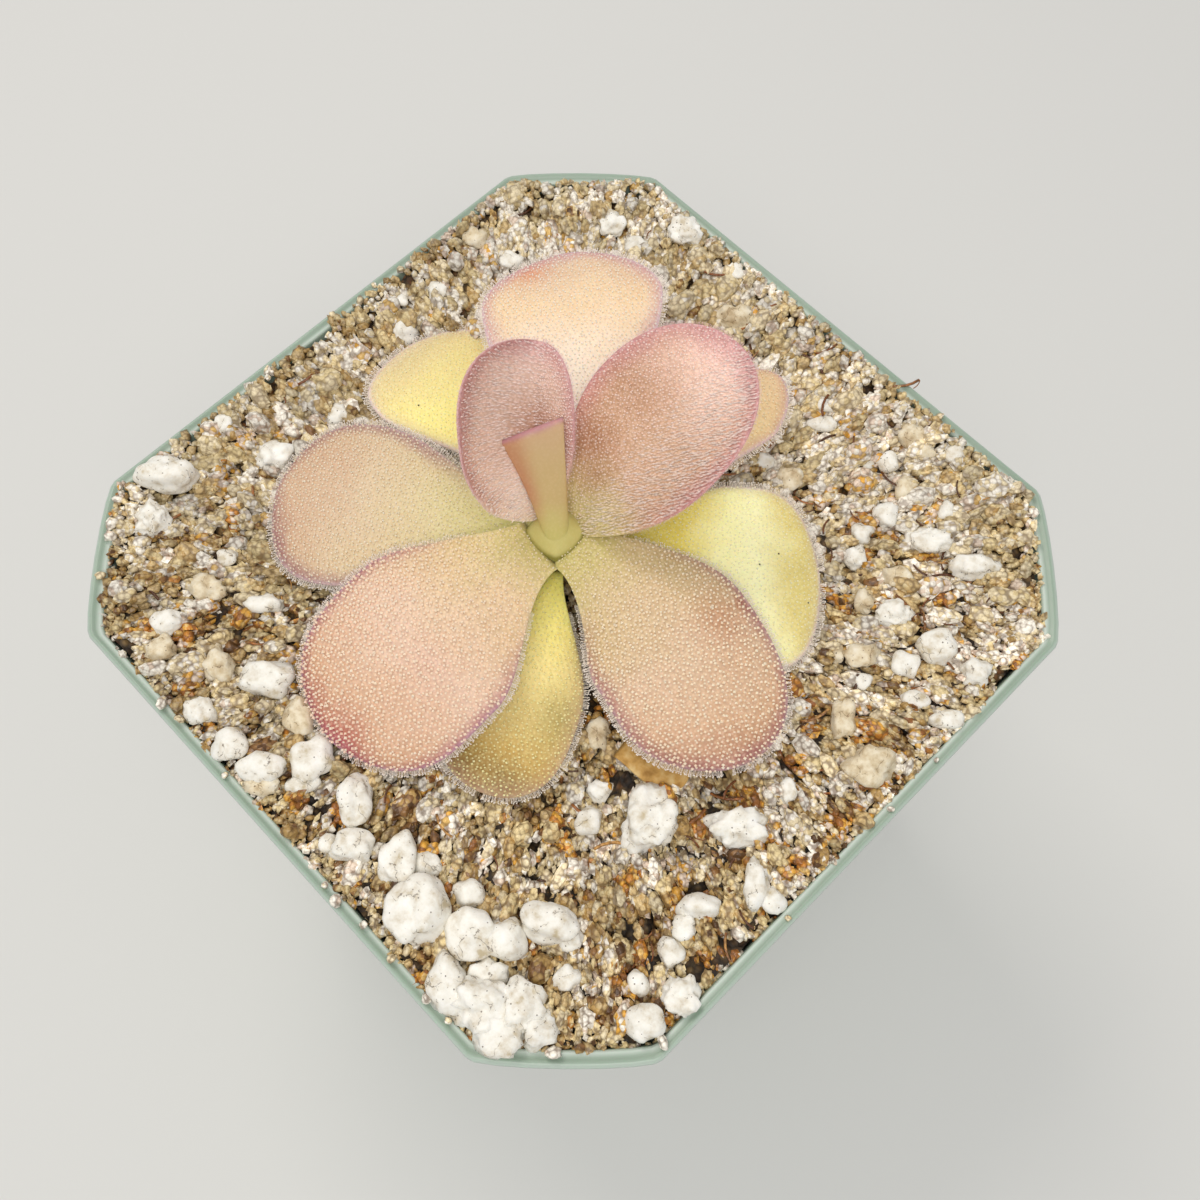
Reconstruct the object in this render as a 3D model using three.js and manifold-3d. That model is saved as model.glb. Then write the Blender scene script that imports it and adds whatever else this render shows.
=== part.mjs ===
// A butterwort rosette growing in a square nursery pot. Millimetres, +Z up.
// The origin is the middle of the pot's underside. The pot's flat sides face X and Y.
import * as THREE from 'three';
import { mergeVertices } from 'three/addons/utils/BufferGeometryUtils.js';
import Module from 'manifold-3d';

const wasm = await Module();
wasm.setup();

// ---- driving dimensions -------------------------------------------------------------------
const POT_ACROSS = 89;        // across two opposite flats at the rim, a 3.5 inch pot
const POT_HEIGHT = 82;
const POT_FOOT_ACROSS = 67;   // across the flats at the foot
const CORNER_CUT = 13.6;      // leg of each cut corner at the rim
const CORNER_BULGE = 0.9;     // how far a cut corner bows out
const LIP_DEPTH = 11;         // height of the band under the rim
const LIP_STEP = 1.7;         // how far the band stands out from the wall below it
const LIP_DRAFT = 0.5;        // how far the band leans in towards its lower edge
const RIM_WIDTH = 1.45;
const RIM_ROUNDING = 0.35;
const WALL = 1.2;
const FLOOR = 1.6;
const FOOT_ROUNDING = 0.8;
const LEDGE = 1;              // height over which the wall steps out into the band
const DRAIN_RADIUS = 3.5;
const DRAIN_PLACE = 19;       // each drain hole, from the middle along X and along Y

const SEAT = 0.3;             // clearance between two touching pieces
const MIX_LEVEL = 80;         // mean height of the growing mix round the plant
const MIX_WALL_RISE = 1.1;    // how much higher the mix lies along the pot's wall
const MIX_WALL_BAND = 9;      // width of that higher band
const GRIT_PITCH = 2.3;       // spacing of the points that shape the grit
const GRIT_RISE = 0.8;        // highest grain top over the mean height
const LOW_GRAIN = 0.35;       // the lowest grain's top, as a share of the highest
const GRIT_DIP = 0.95;        // deepest gap between grains
const GRIT_SWAY = 0.55;       // how far the points are shifted, as a share of their spacing
const GRIT_SEED = 4021;
const BELOW_POT = -5;         // where the grit block ends before the pot's inside trims it

const PLANT = { x: -1.7, y: -1.6 };   // axis of the crown
const CROWN = { radius: 1.5, tip: 0.9, foot: 1.2, rise: 8.3, depth: 9, taper: 5 };
const ROOTS = { count: 6, thick: 0.55, thin: 0.3, start: 0.7, spread: 2.4, from: -3.1 };
const ROOT_LENGTHS = [11.5, 9.9, 8.3];
const ROOT_HOLE = { radius: 4.3, depth: 15.6 };

const LEAF_THICK = 1.1;       // along the middle of a blade
const LEAF_EDGE = 0.64;       // at its margin
const LEAF_STEPS = 12;        // stations along a blade
const LEAF_CROWDING = 1.5;    // how much closer they stand towards the tip
const LEAF_END = 0.995;       // share of the length where the last one stands
const LEAF_LANES = 6;         // strips across a blade
const LEAF_OPENING = 0.3;     // share of the length over which the base's fold opens out
const TIP_STATIONS = 3;       // stations over which the blade thins towards its tip
const RIDGE = 0.4;            // how far the margin stands out, as a share of its thickness

// Each leaf springs from the crown `root` above the mix and `inset` from its axis. Lengths are in mm
// and angles in degrees: azimuth and sweep in plan, rise at the base, droop over the length,
// roll about the midrib, cup across the blade (negative arches it), fold at the base.
// `widest` and `neck` are shares of the length and width, and `blunt` squares off the tip.
const LEAVES = {
  leaf_low_rear_left: {
    azimuth: 160, sweep: 19, length: 31.5, width: 16.5, widest: 0.84, neck: 0.23, blunt: 2.3,
    root: 2.4, inset: 2.05, rise: 7, droop: 11, roll: 3, cup: -7, fold: 6,
  },
  leaf_low_front: {
    azimuth: 308, sweep: -13, length: 26.5, width: 14, widest: 0.62, neck: 0.22, blunt: 2.3,
    root: 2.4, inset: 2.05, rise: 5, droop: 12, roll: 0, cup: -12, fold: 8,
  },
  leaf_low_right: {
    azimuth: 33.5, sweep: 17, length: 28.5, width: 22.5, widest: 0.68, neck: 0.16, blunt: 2.8,
    root: 2.9, inset: 2.05, rise: 9, droop: 16, roll: 3, cup: -9, fold: 8,
  },
  leaf_rear_right: {
    azimuth: 85, sweep: -1, length: 32.5, width: 10.5, widest: 0.72, neck: 0.36, blunt: 2.3,
    root: 4.1, inset: 2.05, rise: 12, droop: 16, roll: 0, cup: -6, fold: 8,
  },
  leaf_left: {
    azimuth: 211, sweep: 1, length: 31, width: 21, widest: 0.68, neck: 0.19, blunt: 2.6,
    root: 4.0, inset: 2.05, rise: 15, droop: 30, roll: -2, cup: -12, fold: 12,
  },
  leaf_rear: {
    azimuth: 128, sweep: 11, length: 36.5, width: 21.5, widest: 0.81, neck: 0.19, blunt: 2.2,
    root: 5.3, inset: 2.05, rise: 19, droop: 30, roll: -5, cup: -8, fold: 12,
  },
  leaf_front_right: {
    azimuth: 16, sweep: -51, length: 32, width: 20.5, widest: 0.47, neck: 0.20, blunt: 3,
    root: 5.3, inset: 2.05, rise: 22, droop: 50, roll: -4, cup: -18, fold: 15,
  },
  leaf_front_left: {
    azimuth: 262, sweep: 20.5, length: 31.5, width: 23.5, widest: 0.48, neck: 0.18, blunt: 3,
    root: 6.3, inset: 2.05, rise: 22, droop: 54, roll: 3, cup: -18, fold: 15,
  },
  leaf_young_right: {
    azimuth: 79, sweep: 5, length: 28.5, width: 19, widest: 0.52, neck: 0.18, blunt: 2.5,
    root: 7.2, inset: 2.05, rise: 42, droop: 14, roll: 4, cup: 34, fold: 45,
  },
  leaf_young_rear: {
    azimuth: 152, sweep: -8, length: 21, width: 17, widest: 0.34, neck: 0.18, blunt: 2.6,
    root: 8.0, inset: 2.05, rise: 56, droop: 22, roll: -14, cup: 58, fold: 45, skew: 0.38,
  },
  leaf_centre: {
    azimuth: 140, sweep: 13, length: 13.5, width: 7, widest: 0.94, neck: 0.30, blunt: 6,
    root: 9.1, inset: -0.8, rise: 55, droop: 4, roll: 0, cup: -12, fold: -12, thick: 0.8,
  },
};

// A dead leaf's dry remains, lying on the grit under the front right leaf.
const DEAD_LEAF = {
  azimuth: 10, sweep: 18, length: 8, width: 4.6, widest: 0.6, neck: 0.7, blunt: 3,
  root: 1.55, inset: 0, rise: 3, droop: 8, roll: 6, cup: 10, fold: 6,
  thick: 0.7,
};
const DEAD_LEAF_PLACE = { x: 18.9, y: -11.1 };

// White perlite lumps, each by its middle in plan and its size across and along the diagonal.
const PERLITE = [
  [16.9, -38.6, 5.4, 6.6], [22.2, -35.9, 4.8, 5.0], [27.1, -29.5, 5.2, 4.0],
  [11.4, -36.5, 3.4, 5.4], [7.2, -39.0, 4.6, 3.2], [3.4, -35.4, 3.5, 5.6],
  [-3.0, -35.9, 4.2, 4.6], [28.1, -40.1, 4.4, 4.4], [31.1, -37.4, 4.2, 4.0],
  [-26.3, -37.2, 3.7, 3.1], [-39.6, -26.9, 5.6, 4.6], [-34.3, -15.6, 3.9, 3.7],
  [-37.2, -30.7, 3.2, 3.8], [26.9, -14.8, 5.6, 6.0], [33.7, -8.7, 5.5, 4.0],
  [35.3, 21.8, 3.6, 3.2], [29.3, 21.5, 3.8, 3.0], [40.8, -25.2, 3.3, 3.4],
  [39.9, -29.1, 3.4, 3.6], [-29.9, 35.6, 3.0, 3.1], [-22.2, 40.8, 2.9, 3.4],
  [26.2, 31.0, 4.6, 4.0],
];
const PERLITE_TURN = 45;      // degrees, turns each lump's own axes in plan
const PERLITE_FLATNESS = 0.74;
const PERLITE_LIFT = 0.12;    // how far a lump's middle lies above the mix, as a share of its height
const PERLITE_SWING = 30;     // degrees, how much the lumps' turns differ
const PERLITE_KNOBS = 0.2;    // how far a lump's hollows cut in, as a share of its size
const PERLITE_SEEDS = { first: 900, step: 17 };

// ---- small helpers ------------------------------------------------------------------------
const radians = (degrees) => THREE.MathUtils.degToRad(degrees);
const mix = (a, b, t) => a + (b - a) * t;

// A repeatable stream of numbers from 0 to 1.
function drawFrom(seed) {
  let state = seed >>> 0;
  return () => {
    state = (Math.imul(state, 1664525) + 1013904223) >>> 0;
    return state / 4294967296;
  };
}

function meshOf(positions, triangles) {
  const geometry = new THREE.BufferGeometry();
  geometry.setAttribute('position', new THREE.Float32BufferAttribute(positions, 3));
  geometry.setIndex(triangles);
  geometry.computeVertexNormals();
  return geometry;
}

function toSolid(geometry) {
  const bare = geometry.clone();
  bare.deleteAttribute('normal');
  bare.deleteAttribute('uv');
  const merged = mergeVertices(bare, 1e-4);
  return new wasm.Manifold(new wasm.Mesh({
    numProp: 3,
    vertProperties: Float32Array.from(merged.attributes.position.array),
    triVerts: Uint32Array.from(merged.index.array),
  }));
}

function fromSolid(solid) {
  const { vertProperties, triVerts, numProp } = solid.getMesh();
  const positions = [];
  for (let i = 0; i < vertProperties.length; i += numProp) {
    positions.push(vertProperties[i], vertProperties[i + 1], vertProperties[i + 2]);
  }
  return meshOf(positions, Array.from(triVerts));
}

function material(colour, roughness) {
  return new THREE.MeshStandardMaterial({ color: colour, roughness, metalness: 0 });
}

const group = new THREE.Group();

function place(name, geometry, finish) {
  const mesh = new THREE.Mesh(geometry, finish);
  mesh.name = name;
  group.add(mesh);
}

// ---- pot ----------------------------------------------------------------------------------
// The pot's outline in plan: a square with bowed, cut corners, `half` from middle to flat.
function potOutline(half) {
  const scale = (2 * half) / POT_ACROSS;
  const cut = CORNER_CUT * scale;
  const bulge = CORNER_BULGE * scale;
  const points = [];
  for (let corner = 0; corner < 4; corner += 1) {
    const turn = (corner * Math.PI) / 2;
    for (const share of [0, 0.16, 0.5, 0.84, 1]) {
      const bow = bulge * Math.sqrt(Math.max(0, 1 - (2 * share - 1) ** 2)) * Math.SQRT1_2;
      const x = half - cut * share + bow;
      const y = half - cut * (1 - share) + bow;
      const [cos, sin] = [Math.cos(turn), Math.sin(turn)];
      points.push([x * cos - y * sin, x * sin + y * cos]);
    }
  }
  return points;
}

// A closed solid from stacked outlines, with a fan over its first and its last one.
function stack(levels) {
  const count = potOutline(1).length;
  const positions = [];
  const triangles = [];
  for (const [half, z] of levels) {
    for (const [x, y] of potOutline(half)) positions.push(x, y, z);
  }
  for (let level = 0; level + 1 < levels.length; level += 1) {
    for (let i = 0; i < count; i += 1) {
      const a = level * count + i;
      const b = level * count + ((i + 1) % count);
      triangles.push(a, b, b + count, a, b + count, a + count);
    }
  }
  const first = positions.length / 3;
  positions.push(0, 0, levels[0][1], 0, 0, levels[levels.length - 1][1]);
  const top = (levels.length - 1) * count;
  for (let i = 0; i < count; i += 1) {
    const next = (i + 1) % count;
    triangles.push(first, next, i, first + 1, top + i, top + next);
  }
  return meshOf(positions, triangles);
}

const RIM_HALF = POT_ACROSS / 2;
const FOOT_HALF = POT_FOOT_ACROSS / 2;
const LIP_UNDER = POT_HEIGHT - LIP_DEPTH;
const WALL_TOP_HALF = RIM_HALF - 2 * LIP_DRAFT + 0.2 - LIP_STEP;

// Half the inner width of the pot at height z.
function potInside(z) {
  if (z > LIP_UNDER) {
    return mix(RIM_HALF - LIP_DRAFT - 2 * WALL, RIM_HALF - RIM_WIDTH, (z - LIP_UNDER) / LIP_DEPTH);
  }
  return mix(FOOT_HALF, WALL_TOP_HALF, z / LIP_UNDER) - WALL;
}

function makePot() {
  const shell = stack([
    [FOOT_HALF - FOOT_ROUNDING, 0],
    [FOOT_HALF, FOOT_ROUNDING],
    [WALL_TOP_HALF, LIP_UNDER - LEDGE],
    [RIM_HALF - LIP_DRAFT - RIM_ROUNDING, LIP_UNDER],
    [RIM_HALF - LIP_DRAFT, LIP_UNDER + RIM_ROUNDING],
    [RIM_HALF, POT_HEIGHT - RIM_ROUNDING],
    [RIM_HALF - RIM_ROUNDING, POT_HEIGHT],
    [RIM_HALF - RIM_WIDTH, POT_HEIGHT],
    [potInside(LIP_UNDER + LEDGE), LIP_UNDER + LEDGE],
    [potInside(LIP_UNDER - LEDGE), LIP_UNDER - LEDGE],
    [potInside(FLOOR), FLOOR],
  ]);
  let solid = toSolid(shell);
  for (const sx of [-1, 1]) {
    for (const sy of [-1, 1]) {
      const drill = new THREE.CylinderGeometry(DRAIN_RADIUS, DRAIN_RADIUS, 4 * FLOOR, 12);
      drill.rotateX(Math.PI / 2);
      drill.translate(sx * DRAIN_PLACE, sy * DRAIN_PLACE, FLOOR / 2);
      solid = solid.subtract(toSolid(drill));
    }
  }
  return fromSolid(solid);
}

// Mean height of the growing mix at a place: it lies higher along the pot's wall.
function mixLevel(x, y) {
  const half = potInside(POT_HEIGHT);
  const corner = (2 * half - CORNER_CUT - Math.abs(x) - Math.abs(y)) * Math.SQRT1_2;
  const gap = Math.max(0, Math.min(half - Math.abs(x), half - Math.abs(y), corner));
  const near = 1 - Math.min(gap / MIX_WALL_BAND, 1);
  return MIX_LEVEL + MIX_WALL_RISE * near * near * (3 - 2 * near);
}

// ---- perlite ------------------------------------------------------------------------------
// One lump, `swell` larger all round. The same number always gives the same lump.
function perliteLump(number, swell) {
  const [x, y, across, along] = PERLITE[number];
  const draw = drawFrom(PERLITE_SEEDS.first + number * PERLITE_SEEDS.step);
  const geometry = mergeVertices(bareSphere());
  const place3 = geometry.attributes.position;
  const high = PERLITE_FLATNESS * (across + along) / 2;
  const size = [across / 2 + swell, along / 2 + swell, high / 2 + swell];
  const turn = radians(PERLITE_TURN + (draw() - 0.5) * PERLITE_SWING);
  const level = mixLevel(x, y) + PERLITE_LIFT * high;
  for (let i = 0; i < place3.count; i += 1) {
    const knob = 1 - PERLITE_KNOBS * draw();
    const u = place3.getX(i) * size[0] * knob;
    const v = place3.getY(i) * size[1] * knob;
    const w = place3.getZ(i) * size[2] * knob;
    place3.setXYZ(
      i,
      x + u * Math.cos(turn) - v * Math.sin(turn),
      y + u * Math.sin(turn) + v * Math.cos(turn),
      level + w,
    );
  }
  geometry.computeVertexNormals();
  return geometry;
}

function bareSphere() {
  const sphere = new THREE.IcosahedronGeometry(1, 1);
  sphere.deleteAttribute('normal');
  sphere.deleteAttribute('uv');
  return sphere;
}

// ---- growing mix --------------------------------------------------------------------------
// Grit as relief: on a triangular grid every third point is a grain's top and the rest are
// the gaps round it. All points are shifted a little, so that no two grains are alike.
function gritSurface() {
  const draw = drawFrom(GRIT_SEED);
  const reach = POT_ACROSS / 2 + GRIT_PITCH;
  const rowStep = GRIT_PITCH * Math.sqrt(3) / 2;
  const rows = Math.ceil((2 * reach) / rowStep);
  const columns = Math.ceil((2 * reach) / GRIT_PITCH);
  const positions = [];
  const triangles = [];
  for (let row = 0; row <= rows; row += 1) {
    for (let column = 0; column <= columns; column += 1) {
      const edge = row === 0 || column === 0 || row === rows || column === columns;
      const isTop = (column + 2 * rows - Math.floor(row / 2) - row) % 3 === 0;
      const sway = edge ? 0 : GRIT_SWAY * GRIT_PITCH;
      const x = -reach + (column + (row % 2) / 2) * GRIT_PITCH + (draw() - 0.5) * sway;
      const y = -reach + row * rowStep + (draw() - 0.5) * sway;
      const lift = isTop ? GRIT_RISE * mix(LOW_GRAIN, 1, draw()) : -GRIT_DIP * draw();
      positions.push(x, y, mixLevel(x, y) + lift);
    }
  }
  const wide = columns + 1;
  for (let row = 0; row < rows; row += 1) {
    for (let column = 0; column < columns; column += 1) {
      const a = row * wide + column;
      if (row % 2 === 0) {
        triangles.push(a, a + 1, a + wide, a + 1, a + wide + 1, a + wide);
      } else {
        triangles.push(a, a + wide + 1, a + wide, a, a + 1, a + wide + 1);
      }
    }
  }
  return closeBelow(positions, triangles, rows, columns);
}

// Closes a grid surface into a solid that reaches below the pot's floor.
function closeBelow(positions, triangles, rows, columns) {
  const wide = columns + 1;
  const rim = [];
  for (let column = 0; column < columns; column += 1) rim.push(column);
  for (let row = 0; row < rows; row += 1) rim.push(row * wide + columns);
  for (let column = columns; column > 0; column -= 1) rim.push(rows * wide + column);
  for (let row = rows; row > 0; row -= 1) rim.push(row * wide);
  const base = positions.length / 3;
  for (const i of rim) positions.push(positions[3 * i], positions[3 * i + 1], BELOW_POT);
  const middle = positions.length / 3;
  positions.push(0, 0, BELOW_POT);
  for (let k = 0; k < rim.length; k += 1) {
    const next = (k + 1) % rim.length;
    triangles.push(rim[k], base + k, base + next, rim[k], base + next, rim[next]);
    triangles.push(base + next, base + k, middle);
  }
  return meshOf(positions, triangles);
}

function makeGrowingMix() {
  const levels = [FLOOR + SEAT, LIP_UNDER - LEDGE, LIP_UNDER + LEDGE, POT_HEIGHT];
  const filling = stack(levels.map((z) => [potInside(z) - SEAT, z]));
  let solid = toSolid(filling).intersect(toSolid(gritSurface()));
  for (let number = 0; number < PERLITE.length; number += 1) {
    solid = solid.subtract(toSolid(perliteLump(number, SEAT)));
  }
  const { radius, depth } = ROOT_HOLE;
  const hole = new THREE.CylinderGeometry(radius, radius, 2 * depth, 16);
  hole.rotateX(Math.PI / 2);
  hole.translate(PLANT.x, PLANT.y, MIX_LEVEL);
  solid = solid.subtract(toSolid(hole));
  const bodies = solid.decompose();
  return fromSolid(bodies.reduce((a, b) => (a.volume() > b.volume() ? a : b)));
}

// ---- crown and roots ----------------------------------------------------------------------
function makeCrown() {
  const top = MIX_LEVEL + CROWN.rise;
  const bottom = MIX_LEVEL - CROWN.depth;
  const profile = [
    [0, bottom], [CROWN.foot, bottom + 1], [CROWN.radius, bottom + 1 + CROWN.taper],
    [CROWN.radius, top - CROWN.tip], [CROWN.tip, top], [0, top],
  ];
  const stem = new THREE.LatheGeometry(profile.map(([r, z]) => new THREE.Vector2(r, z)), 12);
  stem.rotateX(Math.PI / 2);
  stem.translate(PLANT.x, PLANT.y, 0);
  let solid = toSolid(stem);
  for (let i = 0; i < ROOTS.count; i += 1) {
    const long = ROOT_LENGTHS[i % ROOT_LENGTHS.length];
    const root = new THREE.CylinderGeometry(ROOTS.thick, ROOTS.thin, long, 6);
    root.rotateX(Math.PI / 2);
    root.translate(0, 0, -long / 2);
    root.rotateY(-Math.atan2(ROOTS.spread - ROOTS.start, long));
    root.translate(ROOTS.start, 0, MIX_LEVEL + ROOTS.from);
    root.rotateZ(((i + 0.3) / ROOTS.count) * 2 * Math.PI);
    root.translate(PLANT.x, PLANT.y, 0);
    solid = solid.add(toSolid(root));
  }
  return fromSolid(solid);
}

// ---- leaves -------------------------------------------------------------------------------
// Half the blade's width at share t of its length, as a share of half its full width.
function bladeShare(t, leaf) {
  if (t < leaf.widest) {
    const rise = t / leaf.widest;
    return mix(leaf.neck, 1, rise * rise * (3 - 2 * rise));
  }
  const fall = (t - leaf.widest) / (1 - leaf.widest);
  return Math.sqrt(Math.max(0, 1 - fall ** leaf.blunt));
}

// Direction of the midrib at share t.
function heading(t, leaf) {
  const up = radians(leaf.rise - leaf.droop * t);
  const round = radians(leaf.azimuth + leaf.sweep * t);
  return {
    along: new THREE.Vector3(
      Math.cos(round) * Math.cos(up), Math.sin(round) * Math.cos(up), Math.sin(up),
    ),
    side: new THREE.Vector3(-Math.sin(round), Math.cos(round), 0),
  };
}

// The midrib as a list of points at the given shares, found by small steps along its heading.
function midrib(leaf, foot, shares) {
  const steps = 120;
  const start = radians(leaf.azimuth);
  const point = new THREE.Vector3(
    foot.x + Math.cos(start) * leaf.inset,
    foot.y + Math.sin(start) * leaf.inset,
    MIX_LEVEL + leaf.root,
  );
  const trail = [point.clone()];
  for (let i = 0; i < steps; i += 1) {
    point.addScaledVector(heading((i + 0.5) / steps, leaf).along, leaf.length / steps);
    trail.push(point.clone());
  }
  return shares.map((t) => {
    const at = Math.min(t * steps, steps - 1e-6);
    const i = Math.floor(at);
    return trail[i].clone().lerp(trail[i + 1], at - i);
  });
}

// The blade's middle surface, a grid of points from base to tip and from edge to edge.
function bladeGrid(leaf, foot) {
  const shares = [];
  for (let i = 0; i <= LEAF_STEPS; i += 1) {
    shares.push(LEAF_END * (1 - (1 - i / LEAF_STEPS) ** LEAF_CROWDING));
  }
  const spine = midrib(leaf, foot, shares);
  return shares.map((t, i) => {
    const { along, side } = heading(t, leaf);
    const up = new THREE.Vector3().crossVectors(along, side);
    const roll = radians(leaf.roll * t ** 0.8);
    const [level, tilt] = [Math.cos(roll), Math.sin(roll)];
    const across = side.clone().multiplyScalar(level).addScaledVector(up, tilt);
    const over = up.clone().multiplyScalar(level).addScaledVector(side, -tilt);
    const open = Math.min(t / LEAF_OPENING, 1);
    const bend = radians(mix(leaf.fold, leaf.cup, open)) || 1e-3;
    const radius = (bladeShare(t, leaf) * leaf.width) / 2 / bend;
    const row = [];
    for (let j = 0; j <= LEAF_LANES; j += 1) {
      const v = 2 * j / LEAF_LANES - 1;
      const angle = (v + (leaf.skew ?? 0) * Math.abs(v)) * bend;
      row.push(spine[i].clone()
        .addScaledVector(across, radius * Math.sin(angle))
        .addScaledVector(over, radius * (1 - Math.cos(angle))));
    }
    return row;
  });
}

// A closed blade: both faces are split alike, and a rounded edge runs all round them.
function makeBlade(leaf, foot) {
  const thick = leaf.thick ?? LEAF_THICK;
  const grid = bladeGrid(leaf, foot);
  const rows = grid.length;
  const lanes = grid[0].length;
  const lower = rows * lanes;
  const positions = [];
  const normalAt = (i, j) => {
    const down = grid[Math.min(i + 1, rows - 1)][j].clone().sub(grid[Math.max(i - 1, 0)][j]);
    const over = grid[i][Math.min(j + 1, lanes - 1)].clone().sub(grid[i][Math.max(j - 1, 0)]);
    return down.cross(over).normalize();
  };
  for (const face of [1, -1]) {
    for (let i = 0; i < rows; i += 1) {
      for (let j = 0; j < lanes; j += 1) {
        const v = 2 * j / (lanes - 1) - 1;
        const tip = Math.min(1, (rows - 1 - i) / TIP_STATIONS);
        const half = mix(LEAF_EDGE, thick, (1 - v * v) * tip) / 2;
        const p = grid[i][j].clone().addScaledVector(normalAt(i, j), face * half);
        positions.push(p.x, p.y, p.z);
      }
    }
  }
  const triangles = [];
  for (let i = 0; i + 1 < rows; i += 1) {
    for (let j = 0; j + 1 < lanes; j += 1) {
      const a = i * lanes + j;
      const [b, c, d] = [a + lanes, a + lanes + 1, a + 1];
      triangles.push(a, b, c, a, c, d);
      triangles.push(a + lower, c + lower, b + lower, a + lower, d + lower, c + lower);
    }
  }
  closeEdge(grid, positions, triangles);
  return meshOf(positions, triangles);
}

// Joins the two faces of a blade round its border over a ridge that stands out a little.
function closeEdge(grid, positions, triangles) {
  const rows = grid.length;
  const lanes = grid[0].length;
  const border = [];
  for (let j = 0; j + 1 < lanes; j += 1) border.push([0, j]);
  for (let i = 0; i + 1 < rows; i += 1) border.push([i, lanes - 1]);
  for (let j = lanes - 1; j > 0; j -= 1) border.push([rows - 1, j]);
  for (let i = rows - 1; i > 0; i -= 1) border.push([i, 0]);
  const ridge = positions.length / 3;
  for (const [i, j] of border) {
    const inner = grid[Math.min(Math.max(i, 1), rows - 2)][Math.min(Math.max(j, 1), lanes - 2)];
    const outward = grid[i][j].clone().sub(inner).normalize();
    const p = grid[i][j].clone().addScaledVector(outward, LEAF_EDGE * RIDGE);
    positions.push(p.x, p.y, p.z);
  }
  const lower = rows * lanes;
  for (let k = 0; k < border.length; k += 1) {
    const next = (k + 1) % border.length;
    const a = border[k][0] * lanes + border[k][1];
    const b = border[next][0] * lanes + border[next][1];
    triangles.push(a, b, ridge + next, a, ridge + next, ridge + k);
    triangles.push(ridge + k, ridge + next, b + lower, ridge + k, b + lower, a + lower);
  }
}

// ---- assembly -----------------------------------------------------------------------------
const GREEN_PLASTIC = material('#8fa994', 0.45);
const GRIT = material('#a98f6d', 0.95);
const PERLITE_WHITE = material('#e9e3d8', 0.9);
const CROWN_GREEN = material('#b9b35c', 0.6);
const DEAD_BROWN = material('#8a5f35', 0.8);
const LEAF_COLOURS = {
  leaf_low_rear_left: '#e6d880', leaf_low_front: '#c9bf66', leaf_low_right: '#dad784',
  leaf_rear_right: '#d9bf8e', leaf_left: '#dcc09b', leaf_rear: '#ebcba5',
  leaf_front_right: '#dcc0a0', leaf_front_left: '#dcbb9e', leaf_young_right: '#d3a48f',
  leaf_young_rear: '#c4938a', leaf_centre: '#c4a877',
};

place('pot', makePot(), GREEN_PLASTIC);
place('growing_mix', makeGrowingMix(), GRIT);
PERLITE.forEach((lump, number) => {
  const name = `perlite_${String(number + 1).padStart(2, '0')}`;
  place(name, perliteLump(number, 0), PERLITE_WHITE);
});
place('crown', makeCrown(), CROWN_GREEN);
for (const [name, leaf] of Object.entries(LEAVES)) {
  place(name, makeBlade(leaf, PLANT), material(LEAF_COLOURS[name], 0.5));
}
place('dead_leaf', makeBlade(DEAD_LEAF, DEAD_LEAF_PLACE), DEAD_BROWN);

export default group;
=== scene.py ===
import math
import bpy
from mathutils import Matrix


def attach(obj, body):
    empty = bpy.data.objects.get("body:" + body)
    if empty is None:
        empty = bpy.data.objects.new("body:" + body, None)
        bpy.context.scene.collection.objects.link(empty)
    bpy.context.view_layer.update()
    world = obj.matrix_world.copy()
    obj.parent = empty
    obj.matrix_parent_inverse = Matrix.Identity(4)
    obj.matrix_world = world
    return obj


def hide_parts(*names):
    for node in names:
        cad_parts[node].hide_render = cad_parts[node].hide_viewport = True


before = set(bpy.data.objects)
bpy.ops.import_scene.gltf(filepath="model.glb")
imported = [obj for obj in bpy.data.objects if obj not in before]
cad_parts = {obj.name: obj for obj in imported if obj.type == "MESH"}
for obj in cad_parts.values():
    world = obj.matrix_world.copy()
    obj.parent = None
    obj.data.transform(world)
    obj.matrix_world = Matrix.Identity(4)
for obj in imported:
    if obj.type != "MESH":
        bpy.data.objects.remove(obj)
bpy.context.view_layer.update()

from types import SimpleNamespace

import bmesh
import bpy
import numpy as np
from mathutils import Matrix, Vector, noise
from mathutils.bvhtree import BVHTree
from mathutils.kdtree import KDTree

# A butterwort rosette in a square nursery pot with cut corners, filled with gritty mix.
# Lengths are in millimetres until a mesh is written, and angles are in degrees.

MM = 0.001
DIAGONAL = math.sqrt(0.5)
SEAM_WELD = 0.004
draw = np.random.default_rng(71)


# ---------------------------------------------------------------- meshes and materials

def linear(code):
    """A colour written as sRGB hex, as linear red, green, blue and alpha."""
    parts = [int(code[i:i + 2], 16) / 255 for i in (1, 3, 5)]
    return [c / 12.92 if c <= 0.04045 else ((c + 0.055) / 1.055) ** 2.4 for c in parts] + [1.0]


def mix(a, b, share):
    return a + (b - a) * share


def smooth(share):
    share = np.clip(share, 0, 1)
    return share * share * (3 - 2 * share)


def fill(tree, node, inputs):
    """Links a node's inputs or sets them; a text is a colour in sRGB hex."""
    for name, value in inputs.items():
        if isinstance(value, bpy.types.NodeSocket):
            tree.links.new(value, node.inputs[name])
        else:
            node.inputs[name].default_value = linear(value) if isinstance(value, str) else value


def add_node(tree, kind, settings=None, inputs=None, stops=None):
    """Adds a node, sets its properties, and fills its inputs and its colour ramp."""
    node = tree.nodes.new(kind)
    for name, value in (settings or {}).items():
        setattr(node, name, value)
    fill(tree, node, inputs or {})
    if stops:
        ramp = node.color_ramp.elements
        while len(ramp) < len(stops):
            ramp.new(1.0)
        for element, (place, code) in zip(ramp, stops):
            element.position = place
            element.color = linear(code)
    return node


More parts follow.
